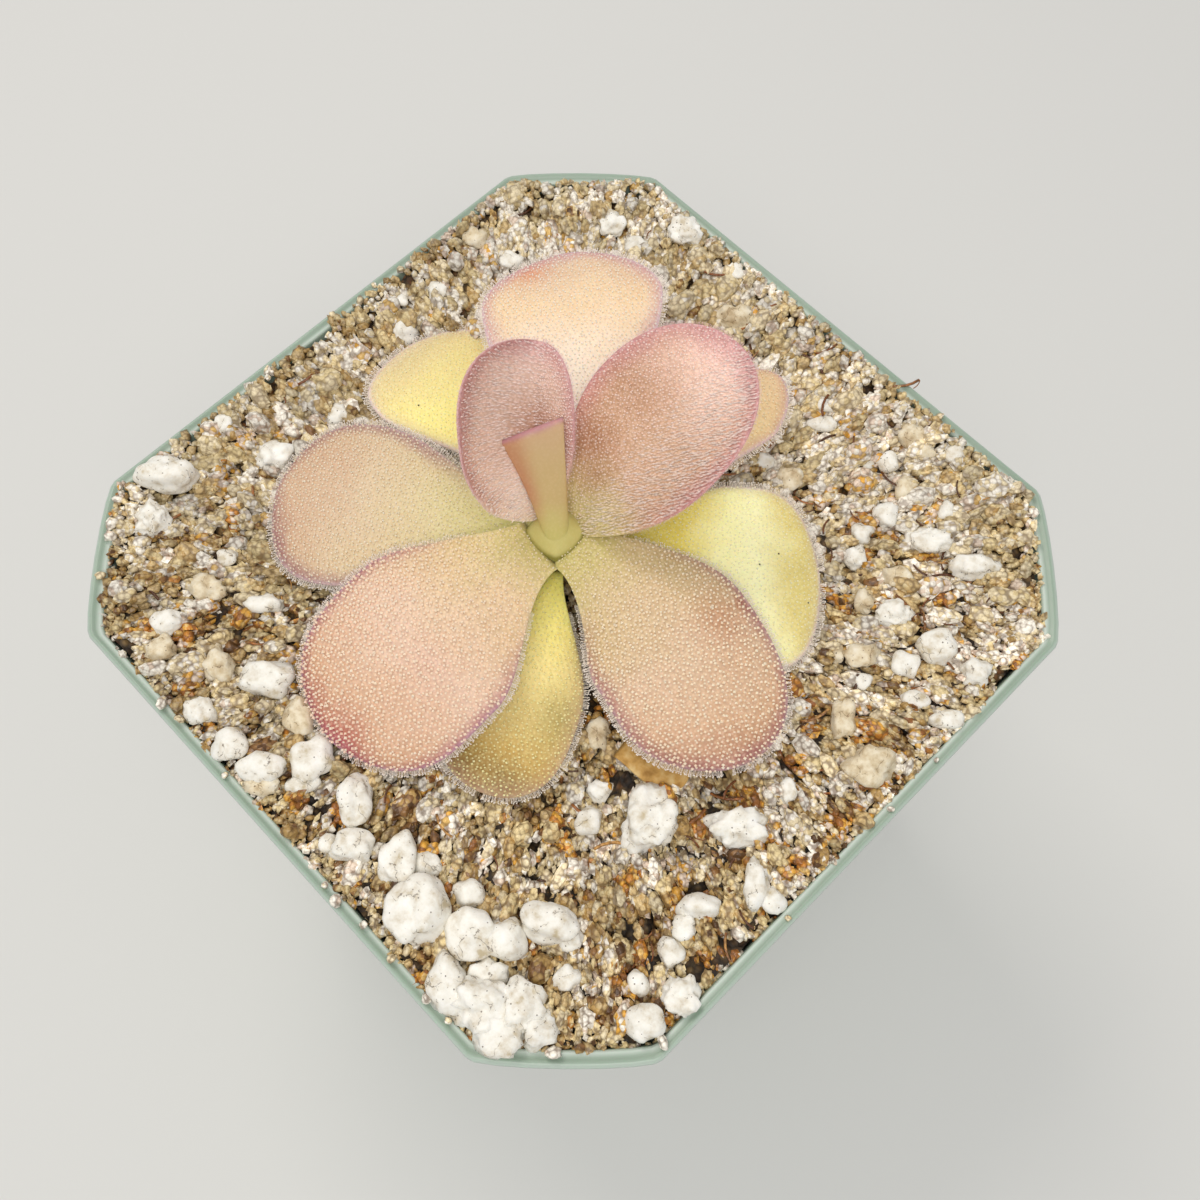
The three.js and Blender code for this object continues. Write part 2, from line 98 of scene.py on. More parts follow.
def milkiness(share, reach, depth):
    """Shader inputs of a body that light sinks into; the depth is in millimetres."""
    return {
        "Subsurface Weight": share, "Subsurface Radius": reach, "Subsurface Scale": depth * MM}


def new_material(name):
    """An empty material with its output and shader, and the node that reads Object coordinates."""
    material = bpy.data.materials.new(name)
    material.use_nodes = True
    tree = material.node_tree
    shader = tree.nodes["Principled BSDF"]
    coords = add_node(tree, "ShaderNodeTexCoord").outputs["Object"]
    return material, tree, shader, coords


def unit(rows):
    """Rows of numbers as directions of length 1."""
    return rows / np.linalg.norm(rows, axis=1, keepdims=True)


def put(name, data):
    """A new object in the scene."""
    thing = bpy.data.objects.new(name, data)
    bpy.context.collection.objects.link(thing)
    return thing


def piece_from(bm, name, material, slot, *nodes):
    """Writes a bmesh in millimetres as a finished piece that rides on the part's body."""
    bmesh.ops.recalc_face_normals(bm, faces=bm.faces)
    bmesh.ops.scale(bm, vec=(MM, MM, MM), verts=bm.verts)
    mesh = bpy.data.meshes.new(name)
    bm.to_mesh(mesh)
    bm.free()
    return dress(mesh, name, material, slot, *nodes)


def dress(mesh, name, material, slot, *nodes, flat=False):
    """Puts a mesh in the scene with its material and body, and hides the nodes that it stands for.
    """
    if not flat:
        mesh.shade_smooth()
    mesh.materials.append(material)
    piece = put(name, mesh)
    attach(piece, "root")
    if nodes:
        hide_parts(*nodes)
    return piece


def wear(node, material):
    """Gives a CAD node its material."""
    node.data.materials.clear()
    node.data.materials.append(material)


def mould_of(bm):
    """A bmesh shape as arrays of points and triangles, to be copied many times."""
    bmesh.ops.triangulate(bm, faces=bm.faces)
    bmesh.ops.recalc_face_normals(bm, faces=bm.faces)
    points = np.array([v.co[:] for v in bm.verts])
    triangles = np.array([[v.index for v in f.verts] for f in bm.faces])
    bm.free()
    return points, triangles


def copies_piece(name, moulds, picks, places, frames, material, slot, attributes, flat=False):
    """One piece made of many copies of a few moulds, each placed by a 3x3 frame and a point."""
    points, triangles, owners = [], [], []
    total = 0
    for number, (shape, faces) in enumerate(moulds):
        chosen = np.flatnonzero(picks == number)
        if not len(chosen):
            continue
        moved = np.einsum("nij,kj->nki", frames[chosen], shape) + places[chosen][:, None, :]
        starts = total + np.arange(len(chosen)) * len(shape)
        points.append(moved.reshape(-1, 3))
        triangles.append((faces[None] + starts[:, None, None]).reshape(-1, 3))
        owners.append(np.repeat(chosen, len(shape)))
        total += len(chosen) * len(shape)
    points, triangles, owners = (np.concatenate(part) for part in (points, triangles, owners))
    mesh = bpy.data.meshes.new(name)
    mesh.vertices.add(len(points))
    mesh.vertices.foreach_set("co", (points * MM).ravel())
    mesh.loops.add(triangles.size)
    mesh.loops.foreach_set("vertex_index", triangles.ravel())
    mesh.polygons.add(len(triangles))
    mesh.polygons.foreach_set("loop_start", np.arange(len(triangles)) * 3)
    mesh.update(calc_edges=True)
    for label, values in attributes.items():
        layer = mesh.attributes.new(label, "FLOAT", "POINT")
        layer.data.foreach_set("value", np.asarray(values, float)[owners])
    if flat:
        mesh.shade_flat()
    return dress(mesh, name, material, slot, flat=flat)


def random_turns(count):
    """Evenly spread random rotations, as 3x3 matrices."""
    w, x, y, z = unit(draw.normal(size=(count, 4))).T
    rows = [
        1 - 2 * (y * y + z * z), 2 * (x * y - z * w), 2 * (x * z + y * w),
        2 * (x * y + z * w), 1 - 2 * (x * x + z * z), 2 * (y * z - x * w),
        2 * (x * z - y * w), 2 * (y * z + x * w), 1 - 2 * (x * x + y * y),
    ]
    return np.stack(rows, axis=1).reshape(-1, 3, 3)


def columns(first, second, third):
    """3x3 matrices from their columns."""
    return np.stack([first, second, third], axis=2)


def frames_along(directions):
    """3x3 matrices that turn a shape's Z axis to each direction."""
    up = unit(directions)
    helper = np.where(np.abs(up[:, 2:]) < 0.9, [[0.0, 0.0, 1.0]], [[1.0, 0.0, 0.0]])
    right = unit(np.cross(helper, up))
    return columns(right, np.cross(up, right), up)


def sheet(lengthwise, around):
    """A flat grid, and where its vertices are, from -1 to 1."""
    bm = bmesh.new()
    bmesh.ops.create_grid(bm, x_segments=lengthwise, y_segments=around, size=1)
    return bm, np.array([v.co[:] for v in bm.verts])


def wrap_sheet(bm, points, values):
    """Moves a grid to its shape, gives its vertices their values, and welds its seam."""
    for label, row in values.items():
        layer = bm.verts.layers.float.new(label)
        for vert, value in zip(bm.verts, row):
            vert[layer] = value
    for vert, point in zip(bm.verts, points):
        vert.co = point
    bmesh.ops.remove_doubles(bm, verts=bm.verts, dist=SEAM_WELD)
    return bm


def tree_of(mesh):
    """A mesh's faces, to be found by rays."""
    return BVHTree.FromPolygons(
        [v.co[:] for v in mesh.vertices], [p.vertices[:] for p in mesh.polygons])


# ---------------------------------------------------------------- leaves

PLANT = np.array([-1.7, -1.6])      # the crown's axis
LEAF_THICK = 1.1
LEAF_EDGE = 0.64
SPINE_STEPS = 240


def leaf_of(azimuth, sweep, length, width, widest, neck, root, rise, droop, cup, fold, roll=0,
            blunt=2.3, inset=2.05, belly=1, skew=0, collar=0, groove=0.1, thick=LEAF_THICK):
    """The measures of one leaf.

    azimuth, sweep: the way it leaves the crown, and how far it turns from that to its tip
    length, width: of the blade; widest: where it is widest, as a share of its length
    neck, belly, blunt: its foot's share of the width, how it widens, and how square its tip is
    root, inset, collar: how high and how far out it starts, and how far its foot is raised
    rise, droop, roll: its slope at the foot, how much it falls to the tip, and its twist
    fold, cup, skew, groove: how its foot and its blade curl up across, unevenly, and its furrow
    """
    return SimpleNamespace(**locals())


LEAVES = {
    "leaf_low_rear_left": leaf_of(
        161.6, 12.8, 31.3, 16.9, 0.82, 0.03, 82.9, 0.6, 6.3, -4, 6, roll=5, blunt=2.77, inset=2.28,
        belly=2.04),
    "leaf_low_front": leaf_of(307, -14.5, 26, 14.5, 0.58, 0.23, 84.6, 2, 12, -14, 8, blunt=3.5),
    "leaf_low_right": leaf_of(
        34.5, 13.7, 28, 22.2, 0.64, 0.19, 82.9, 9, 18, -8, 8, roll=3, blunt=4),
    "leaf_rear_right": leaf_of(
        85.5, -1.4, 32.1, 10.5, 0.82, 0.35, 84.1, 11.7, 17.7, -15, 8, blunt=1.35),
    "leaf_left": leaf_of(208.8, 3.8, 31.3, 20.9, 0.7, 0.27, 84.0, 12.6, 32, -10, 12, blunt=2.6),
    "leaf_rear": leaf_of(
        128.7, 8.9, 36.3, 21.5, 0.82, 0.16, 85.3, 18.2, 30.8, -7, 12, roll=-7, blunt=1.8),
    "leaf_front_right": leaf_of(
        17.2, -51.9, 31.8, 19.7, 0.51, 0.28, 85.3, 21.7, 48, -18, 15, roll=-4, blunt=3.7, inset=1.3,
        collar=2.0),
    "leaf_front_left": leaf_of(
        261.4, 15.7, 31.9, 22.7, 0.515, 0.3, 86.3, 20.5, 58, -15, 15, roll=4, blunt=3.6, inset=1.3,
        collar=1.2),
    "leaf_young_right": leaf_of(
        80.9, -1.4, 27.5, 18.6, 0.57, 0.08, 87.2, 44.2, 13.5, 28.6, 17.7, roll=5.8, inset=2.5,
        belly=0.43, groove=0.35),
    "leaf_young_rear": leaf_of(
        152.9, -30.6, 20.2, 15.1, 0.51, 0.03, 88.0, 66.6, 36.3, 52.6, 34.9, roll=7, blunt=2.88,
        inset=2.5, belly=0.45, skew=0.43),
}
DEAD_LEAF = leaf_of(
    10, 18, 8, 4.6, 0.6, 0.7, 81.55, 3, 8, 10, 6, roll=6, blunt=3, inset=0, thick=0.7)
DEAD_LEAF_PLACE = np.array([18.9, -11.1])


def leaf_share(leaf, t):
    """Half width at share t of the length, as a share of the widest."""
    t = np.asarray(t, float)
    rising = mix(leaf.neck, 1, smooth(t / leaf.widest) ** leaf.belly)
    fall = np.clip((t - leaf.widest) / (1 - leaf.widest), 0, 1)
    return np.where(t < leaf.widest, rising, np.sqrt(np.maximum(0, 1 - fall ** leaf.blunt)))


def half_width(leaf, t):
    return leaf_share(leaf, t) * leaf.width / 2


def heading(leaf, t):
    """The midrib's direction at share t, and the level direction square to it."""
    up = np.radians(leaf.rise - leaf.droop * t)
    turn = np.radians(leaf.azimuth + leaf.sweep * t)
    along = np.stack([np.cos(turn) * np.cos(up), np.sin(turn) * np.cos(up), np.sin(up)], axis=-1)
    side = np.stack([-np.sin(turn), np.cos(turn), np.zeros_like(turn)], axis=-1)
    return along, side


def spine_of(leaf, foot):
    """Points along the midrib, found by small steps along its heading."""
    along, _ = heading(leaf, (np.arange(SPINE_STEPS) + 0.5) / SPINE_STEPS)
    start = np.radians(leaf.azimuth)
    out = np.array([np.cos(start), np.sin(start)]) * leaf.inset
    root = np.array([foot[0] + out[0], foot[1] + out[1], leaf.root])
    steps = np.cumsum(along, axis=0) * leaf.length / SPINE_STEPS
    return np.vstack([root, root + steps])


def on_blade(leaf, foot, t, v, lift=0.0):
    """Points over the blade's middle surface, with the way out of it and the way across it.

    t runs from the base to the tip, and v from the right margin, -1, to the left one, 1.
    """
    t, v = np.broadcast_arrays(np.asarray(t, float), np.asarray(v, float))
    trail = spine_of(leaf, foot)
    shares = np.linspace(0, 1, SPINE_STEPS + 1)
    spine = np.stack([np.interp(t, shares, trail[:, axis]) for axis in range(3)], axis=-1)
    along, side = heading(leaf, t)
    up = np.cross(along, side)
    roll = np.radians(leaf.roll * t ** 0.8)[..., None]
    across = side * np.cos(roll) + up * np.sin(roll)
    over = up * np.cos(roll) - side * np.sin(roll)
    bend = np.radians(mix(leaf.fold, leaf.cup, np.minimum(t / 0.3, 1)))
    bend = np.where(np.abs(bend) < 1e-3, 1e-3, bend)
    radius = (half_width(leaf, t) / bend)[..., None]
    angle = ((v + leaf.skew * np.abs(v)) * bend)[..., None]
    point = spine + radius * np.sin(angle) * across + radius * (1 - np.cos(angle)) * over
    point[..., 2] += leaf.collar * (1 - smooth(t / 0.3))
    normal = over * np.cos(angle) - across * np.sin(angle)
    reach = np.sin(np.pi * np.clip(t, 0, 1)) ** 0.5
    wave = 0.22 * np.sin(7 * t + 2.3 * v + leaf.azimuth) * v * v
    trough = -leaf.groove * np.exp(-(v / 0.16) ** 2)
    height = (wave + trough) * reach + lift
    return point + normal * height[..., None], normal, across * np.cos(angle) + over * np.sin(angle)


def rim_distance(leaf, t, v):
    """How far a place on the blade is from the margin, in millimetres, measured on the flat."""
    s = np.linspace(0, 1, 220)
    edge_t = 1 - (1 - s) ** 2
    edge_y = half_width(leaf, edge_t)
    x = t * leaf.length
    y = np.abs(v) * half_width(leaf, t)
    gaps = np.hypot(x[:, None] - edge_t[None] * leaf.length, y[:, None] - edge_y[None])
    return gaps.min(axis=1)


def half_thickness(leaf, v):
    return mix(LEAF_EDGE, leaf.thick, 1 - v * v) / 2


def blade_bmesh(leaf, foot, stations, ring, spots):
    """A closed blade: a grid is wrapped round its cross-section and welded along the margin."""
    bm, flat = sheet(stations, ring)
    s = (flat[:, 0] + 1) / 2
    t = 1 - (1 - s) ** 2
    turn = np.pi * flat[:, 1]
    v = np.cos(turn)
    body = half_thickness(leaf, v)
    ends = np.sqrt(np.clip(s / 0.06, 0, 1)) * np.sqrt(np.clip((1 - s) / 0.16, 0, 1))
    lift = body * ends * np.sign(np.sin(turn)) * np.abs(np.sin(turn)) ** 0.6
    points, _, _ = on_blade(leaf, foot, t, v, lift)
    return wrap_sheet(bm, points, {
        "along": t, "rim": rim_distance(leaf, t, v), "blush": blush_at(leaf, spots, t, v)})


def palette_of(body, margin, band, strength, bead, edge="#DCC4D0", blush="#C98A6A",
               hollow="#8E5A44", fade=0.15, spots=()):
    """The colours of one leaf.

    body: skin colours from the foot to the tip, at shares of the length
    margin, band, strength: the margin's colour, how wide its band is, and how strong it is
    bead: the droplets' colour, partly painted glint; edge: the outermost line's; hollow: the
    painted shade between the skin's cells
    fade: the share of the length where the band starts
    The blush colour and spots: patches of that colour, a real blush on some leaves and painted
    shade on others: share of the length, place across, radius and strength
    """
    return dict(locals())


PALETTES = {
    "leaf_low_rear_left": palette_of(
        [(0.3, "#FAEC8C"), (0.7, "#F8EA92"), (0.88, "#E6D294"), (1.0, "#D8C38C")],
        "#DCC6AC", 1.2, 0.6, "#FDF8CC"),
    # This low leaf's dark olive patch is painted shade from the leaf that lies over it.
    "leaf_low_front": palette_of(
        [(0.1, "#F2E878"), (0.5, "#F2E098"), (0.82, "#C4A256"), (1.0, "#76561E")],
        "#C09A86", 1.5, 0.4, "#FAF0B4", edge="#C4A68C", blush="#8E7C3C",
        spots=[(0.62, 0.75, 3.0, 0.5)]),
    "leaf_low_right": palette_of(
        [(0.12, "#D4C650"), (0.45, "#E8D866"), (0.62, "#FFFABA"), (0.74, "#FFFCC6"),
         (0.88, "#E4D486"), (1.0, "#CFBB70")],
        "#DCCCA4", 1.2, 0.5, "#FDF8D4"),
    "leaf_rear_right": palette_of(
        [(0.2, "#DACA90"), (0.7, "#E8D09C"), (1.0, "#DFBE96")],
        "#C99A92", 1.2, 0.6, "#F6E3C0"),
    "leaf_left": palette_of(
        [(0.1, "#CFCB7E"), (0.35, "#D8CA98"), (0.65, "#D8C09E"), (0.9, "#D0AE90"),
         (1.0, "#BC927C")],
        "#A07478", 1.5, 0.8, "#F4E6CE", edge="#C6AEB4"),
    "leaf_rear": palette_of(
        [(0.2, "#FDF3E8"), (0.55, "#F9E6CF"), (0.8, "#EED2AA"), (1.0, "#D6B498")],
        "#CB9CA4", 1.5, 0.75, "#FDF2E2", blush="#D8906C",
        spots=[(0.93, 0.6, 2.2, 0.8)]),
    "leaf_front_right": palette_of(
        [(0.03, "#C6BD6E"), (0.25, "#D0BD8A"), (0.6, "#DCC0A2"), (0.85, "#D9B492"),
         (1.0, "#C09072")],
        "#A86E74", 1.4, 0.75, "#FFE9CE", edge="#C0A0AC", blush="#B9744A",
        spots=[(0.55, 0.55, 2.6, 0.5), (0.54, 0.9, 0.7, 1.0)]),
    "leaf_front_left": palette_of(
        [(0.03, "#D0C480"), (0.25, "#E0C89E"), (0.55, "#E7CBB4"), (0.85, "#DEB898"),
         (1.0, "#B8665A")],
        "#AA6074", 1.25, 0.72, "#FFE4CC", edge="#BE94B0", blush="#BA5E5A",
        spots=[(0.55, 0.25, 3.2, 0.12), (0.99, -0.3, 2.6, 0.25), (0.99, 0.35, 2.8, 0.4)]),
    # This young leaf's patches are painted shade along the groove of its midrib.
    "leaf_young_right": palette_of(
        [(0.15, "#DCCE90"), (0.35, "#E0BA98"), (0.6, "#DFB898"), (0.85, "#FCDAC6"),
         (1.0, "#FFD8CC")],
        "#CF9094", 1.8, 0.7, "#FFE6DC", edge="#CE9A9E", blush="#B07A52", hollow="#96604A",
        spots=[(0.33, 0.62, 3.6, 0.75), (0.26, 0.25, 3.0, 0.6), (0.62, 0.5, 4.5, 0.35)]),
    # This young leaf's patches are painted shade in the hollow of its cupped blade.
    "leaf_young_rear": palette_of(
        [(0.12, "#FFEAD4"), (0.4, "#FCDCC6"), (0.75, "#EECEBA"), (1.0, "#ECC6B6")],
        "#CE9496", 1.7, 0.65, "#FFE4DC", edge="#CE9EA2", blush="#A86C4C", hollow="#96604A",
        spots=[(0.6, -0.1, 3.6, 0.75), (0.48, 0.12, 2.6, 0.6), (0.5, -0.7, 3.0, 0.7)]),
    # The centre leaf's blush on its left flank is partly its own orange and partly painted shade.
    "leaf_centre": palette_of(
        [(0.14, "#C8BC70"), (0.3, "#C8B674"), (0.42, "#C6AC74"), (0.8, "#CDB080"),
         (1.0, "#D0AC88")],
        "#A0606E", 0.6, 0.9, "#F0D8B8", edge="#C08E96", blush="#C28E68", fade=0.5),
}


def blush_at(leaf, spots, t, v):
    """Strength of the blush and painted shade patches at a place on the blade."""
    half = half_width(leaf, t)
    total = np.zeros(len(t))
    for at, across, radius, strength in spots:
        dx = (t - at) * leaf.length
        dy = v * half - across * half_width(leaf, at)
        total = np.maximum(total, strength * np.exp(-(dx * dx + dy * dy) / radius ** 2))
    return total


def leaf_colour(tree, coords, palette):
    """The colour of one leaf: foot to tip, patches of blush and of painted shade, and the mauve
    band along its margin.
    """
    along, rim, blush = (
        add_node(tree, "ShaderNodeAttribute", {"attribute_name": label}).outputs["Fac"]
        for label in ("along", "rim", "blush"))
    patches = add_node(tree, "ShaderNodeTexNoise", None, {
        "Vector": coords, "Scale": 1 / (7 * MM)}).outputs["Fac"]
    drift = add_node(tree, "ShaderNodeMath", {"operation": "MULTIPLY_ADD"}, {
        0: patches, 1: 0.3, 2: -0.15}).outputs[0]
    place = add_node(tree, "ShaderNodeMath", {"operation": "ADD"}, {0: along, 1: drift}).outputs[0]
    body = add_node(tree, "ShaderNodeValToRGB", None, {0: place}, palette["body"]).outputs["Color"]
    warm = add_node(tree, "ShaderNodeMix", {"data_type": "RGBA"}, {
        0: blush, 6: body, 7: palette["blush"]}).outputs[2]
    ragged = add_node(tree, "ShaderNodeMath", {"operation": "MULTIPLY_ADD"}, {
        0: patches, 1: -2.4, 2: 1.2}).outputs[0]
    reach = add_node(tree, "ShaderNodeMath", {"operation": "ADD"}, {0: rim, 1: ragged}).outputs[0]
    near = add_node(tree, "ShaderNodeMapRange", {"interpolation_type": "SMOOTHSTEP"}, {
        "Value": reach, "From Max": palette["band"] * 1.6, "To Min": palette["strength"],
        "To Max": 0.0}).outputs[0]
    grown = add_node(tree, "ShaderNodeMapRange", {"interpolation_type": "SMOOTHSTEP"}, {
        "Value": along, "From Min": palette["fade"], "From Max": 0.55}).outputs[0]
    band = add_node(tree, "ShaderNodeMath", {"operation": "MULTIPLY"}, {
        0: near, 1: grown}).outputs[0]
    edged = add_node(tree, "ShaderNodeMix", {"data_type": "RGBA"}, {
        0: band, 6: warm, 7: palette["margin"]}).outputs[2]
    frosted = add_node(tree, "ShaderNodeMapRange", {"interpolation_type": "SMOOTHSTEP"}, {
        "Value": rim, "From Min": 0.05, "From Max": 0.6, "To Min": 0.65, "To Max": 0.0}).outputs[0]
    line = add_node(tree, "ShaderNodeMath", {"operation": "MULTIPLY"}, {
        0: frosted, 1: grown}).outputs[0]
    return add_node(tree, "ShaderNodeMix", {"data_type": "RGBA"}, {
        0: line, 6: edged, 7: palette["edge"]}).outputs[2]


def leaf_skin(name, palette, fleck=0.25, relief=0.35, hollow=0.0):
    """Succulent leaf skin: soft, moist and a little translucent, with fine pale cells and painted
    shade between them.
    """
    material, tree, shader, coords = new_material(name)
    colour = leaf_colour(tree, coords, palette)
    cells = add_node(tree, "ShaderNodeTexVoronoi", None, {
        "Vector": coords, "Scale": 1 / (0.34 * MM)}).outputs["Distance"]
    pale = add_node(tree, "ShaderNodeMapRange", None, {
        "Value": cells, "From Min": 0.1, "From Max": 0.6, "To Min": fleck,
        "To Max": 0.0}).outputs[0]
    # Painted shade: the hollows between the skin's cells are darkened.
    deep = add_node(tree, "ShaderNodeMapRange", None, {
        "Value": cells, "From Min": 0.3, "From Max": 0.7, "To Max": hollow}).outputs[0]
    pebbled = add_node(tree, "ShaderNodeMix", {"data_type": "RGBA"}, {
        0: deep, 6: colour, 7: palette["hollow"]}).outputs[2]
    speckled = add_node(tree, "ShaderNodeMix", {"data_type": "RGBA"}, {
        0: pale, 6: pebbled, 7: palette["bead"]}).outputs[2]
    grain = add_node(tree, "ShaderNodeTexNoise", None, {
        "Vector": coords, "Scale": 1 / (0.5 * MM), "Detail": 4.0}).outputs["Fac"]
    bump = add_node(tree, "ShaderNodeBump", None, {
        "Height": grain, "Strength": relief, "Distance": 0.1 * MM}).outputs["Normal"]
    fill(tree, shader, {
        "Base Color": speckled, "Normal": bump, "Roughness": 0.5, "IOR": 1.4,
        **milkiness(0.25, (1.0, 0.65, 0.35), 0.8)})
    return material


def gland_glaze(name, palette, low, high, milky=0.8):
    """Droplets of clear mucilage on the leaf's glands: wet and glossy, their pale colour partly
    their own and partly painted glint.
    """
    material, tree, shader, coords = new_material(name)
    colour = leaf_colour(tree, coords, palette)
    tint = add_node(tree, "ShaderNodeAttribute", {"attribute_name": "tint"}).outputs["Fac"]
    pale = add_node(tree, "ShaderNodeMapRange", None, {
        "Value": tint, "To Min": low, "To Max": high}).outputs[0]
    drop = add_node(tree, "ShaderNodeMix", {"data_type": "RGBA"}, {
        0: pale, 6: colour, 7: palette["bead"]}).outputs[2]
    fill(tree, shader, {
        "Base Color": drop, "Roughness": 0.15, "IOR": 1.42,
        **milkiness(milky, (1.0, 0.9, 0.8), 0.3)})
    return material


def bead_mould():
    """One droplet of about 0.2 mm, as few faces as will still look round."""
    bm = bmesh.new()
    bmesh.ops.create_uvsphere(bm, u_segments=4, v_segments=2, radius=1.0)
    return mould_of(bm)


def hair_mould(stalk, bead):
    """A stalked gland of unit length: a three-sided stalk with a bead at its tip."""
    bm = bmesh.new()
    bmesh.ops.create_cone(
        bm, cap_ends=False, segments=3, radius1=stalk, radius2=stalk * 0.5, depth=1.0,
        matrix=Matrix.Translation((0, 0, 0.42)))
    bmesh.ops.create_uvsphere(
        bm, u_segments=4, v_segments=2, radius=bead, matrix=Matrix.Translation((0, 0, 0.95)))
    return mould_of(bm)


BEAD = bead_mould()
FRINGE_HAIR = hair_mould(0.05, 0.13)
FRINGE_PITCH = 0.135        # how far apart the stalks stand in each row along the margin

# Glands on each leaf: their spacing and the radius of their droplets in millimetres.
GLANDS = {
    "leaf_low_rear_left": (0.56, 0.09), "leaf_low_front": (0.52, 0.16),
    "leaf_low_right": (0.54, 0.12), "leaf_rear_right": (0.50, 0.12),
    "leaf_left": (0.52, 0.14), "leaf_rear": (0.53, 0.125),
    "leaf_front_right": (0.54, 0.19), "leaf_front_left": (0.55, 0.20),
}
# Drops on the inner face of the young leaves: their spacing and radius, the side of the leaf on
# which they are drawn out into short combed hairs, and which way those lie: across and along.
HAIRS = {
    "leaf_young_right": (0.41, 0.135, -1, (-0.8, 1.1)),
    "leaf_young_rear": (0.41, 0.135, 1, (1.0, 0.1)),
}


def scattered(leaf, pitch, jitter):
    """Shares t and v of an even, slightly disturbed scatter over the blade."""
    rows = np.arange(0.6, leaf.length, pitch * 0.866)
    lanes = np.arange(-leaf.width / 2, leaf.width / 2, pitch)
    x, y = np.meshgrid(rows, lanes, indexing="ij")
    y = y + (np.arange(len(rows)) % 2)[:, None] * pitch / 2
    x = (x + draw.uniform(-jitter, jitter, x.shape)).ravel()
    y = (y + draw.uniform(-jitter, jitter, y.shape)).ravel()
    t = x / leaf.length
    inside = (t > 0.03) & (t < 0.995)
    half = np.where(inside, half_width(leaf, np.clip(t, 0, 1)), 0)
    inside &= np.abs(y) < half - 0.08
    return t[inside], (y[inside] / half[inside])


def stand_glands(name, ending, mould, leaf, t, v, places, frames, material, slot):
    """One piece made of all the glands of a kind, with what their material reads at each."""
    spots = PALETTES[name]["spots"]
    copies_piece(
        name + ending, [mould], np.zeros(len(t), int), places, frames, material, slot, {
            "along": t, "rim": rim_distance(leaf, t, v), "blush": blush_at(leaf, spots, t, v),
            "tint": draw.uniform(0, 1, len(t))}, flat=True)


def add_glands(name, leaf, material, slot):
    """Droplets all over a leaf's upper face, leaning a little towards its tip."""
    pitch, size = GLANDS[name]
    t, v = scattered(leaf, pitch, pitch * 0.3)
    places, normals, _ = on_blade(leaf, PLANT, t, v, half_thickness(leaf, v) + size * 0.6)
    grow = size * draw.uniform(0.75, 1.2, len(t)) * mix(0.55, 1, smooth(t / 0.45))
    along, _ = heading(leaf, t)
    lean = normals + 0.7 * along + draw.normal(0, 0.15, normals.shape)
    frames = frames_along(lean) * grow[:, None, None]
    frames[:, :, 2] *= 1.25
    stand_glands(name, "_glands", BEAD, leaf, t, v, places, frames, material, slot)


def add_hairs(name, leaf, material, slot):
    """Drops on a young leaf's inner face, drawn out into short combed hairs on one side."""
    pitch, size, side, comb = HAIRS[name]
    t, v = scattered(leaf, pitch, pitch * 0.3)
    places, normals, across = on_blade(leaf, PLANT, t, v, half_thickness(leaf, v) + size * 0.3)
    along = np.cross(across, normals)
    along *= np.sign((along * heading(leaf, t)[0]).sum(axis=1))[:, None]
    drawn = mix(1.0, 3.4, smooth((side * v + 0.35) / 0.9)) * draw.uniform(0.8, 1.25, len(t))
    long = across * comb[0] + along * comb[1] + draw.normal(0, 0.16, normals.shape)
    long = unit(long - normals * (long * normals).sum(axis=1)[:, None])
    short = np.cross(normals, long)
    grow = size * draw.uniform(0.75, 1.2, len(t))
    frames = columns(
        long * (drawn * grow)[:, None], short * (0.85 * grow)[:, None], normals * grow[:, None])
    stand_glands(name, "_hairs", BEAD, leaf, t, v, places, frames, material, slot)


def add_fringe(name, leaf, material, slot, length=0.62):
    """Stalked glands that stand out all along the margin, in two close rows on each side."""
    s = np.linspace(0.1, 1, 900)
    t = 1 - (1 - s) ** 2
    half = half_width(leaf, t)
    edge = np.stack([t * leaf.length, half], axis=1)
    reach = np.concatenate([[0], np.cumsum(np.linalg.norm(np.diff(edge, axis=0), axis=1))])
    slope = np.gradient(half, t * leaf.length + 1e-9)
    count = int(reach[-1] / FRINGE_PITCH)
    all_t, all_v, all_out = [], [], []
    for sign in (-1, 1):
        for row, place in ((0.0, 0.985), (0.5, 1.0)):
            at = (np.arange(count) + row) * FRINGE_PITCH + draw.uniform(-0.05, 0.05, count)
            at = np.clip(at, 0.0, reach[-1])
            lean = np.clip(np.interp(at, reach, slope), -8, 8)
            all_t.append(np.interp(at, reach, t))
            all_v.append(np.full(count, sign * place))
            all_out.append(np.stack([-lean, np.full(count, float(sign))], axis=1))
    t, v, out = (np.concatenate(part) for part in (all_t, all_v, all_out))
    out = unit(out)
    t = np.clip(t, 0.0, 0.9995)
    places, normals, across = on_blade(leaf, PLANT, t, v)
    along, _ = heading(leaf, t)
    lean = along * out[:, :1] + across * out[:, 1:] + normals * draw.uniform(-0.3, 0.8, (len(t), 1))
    lean += draw.normal(0, 0.15, lean.shape)
    long = length * draw.uniform(0.65, 1.2, len(t)) * mix(0.45, 1, smooth(t / 0.5))
    frames = frames_along(lean) * long[:, None, None]
    stand_glands(name, "_fringe", FRINGE_HAIR, leaf, t, v, places, frames, material, slot)


LEAF_SLOTS = {
    "leaf_low_rear_left": "leaf_yellow", "leaf_low_right": "leaf_yellow",
    "leaf_low_front": "leaf_olive", "leaf_rear_right": "leaf_olive",
    "leaf_left": "leaf_peach", "leaf_rear": "leaf_peach",
    "leaf_front_right": "leaf_peach", "leaf_front_left": "leaf_peach",
    "leaf_young_right": "leaf_pink", "leaf_young_rear": "leaf_pink",
}

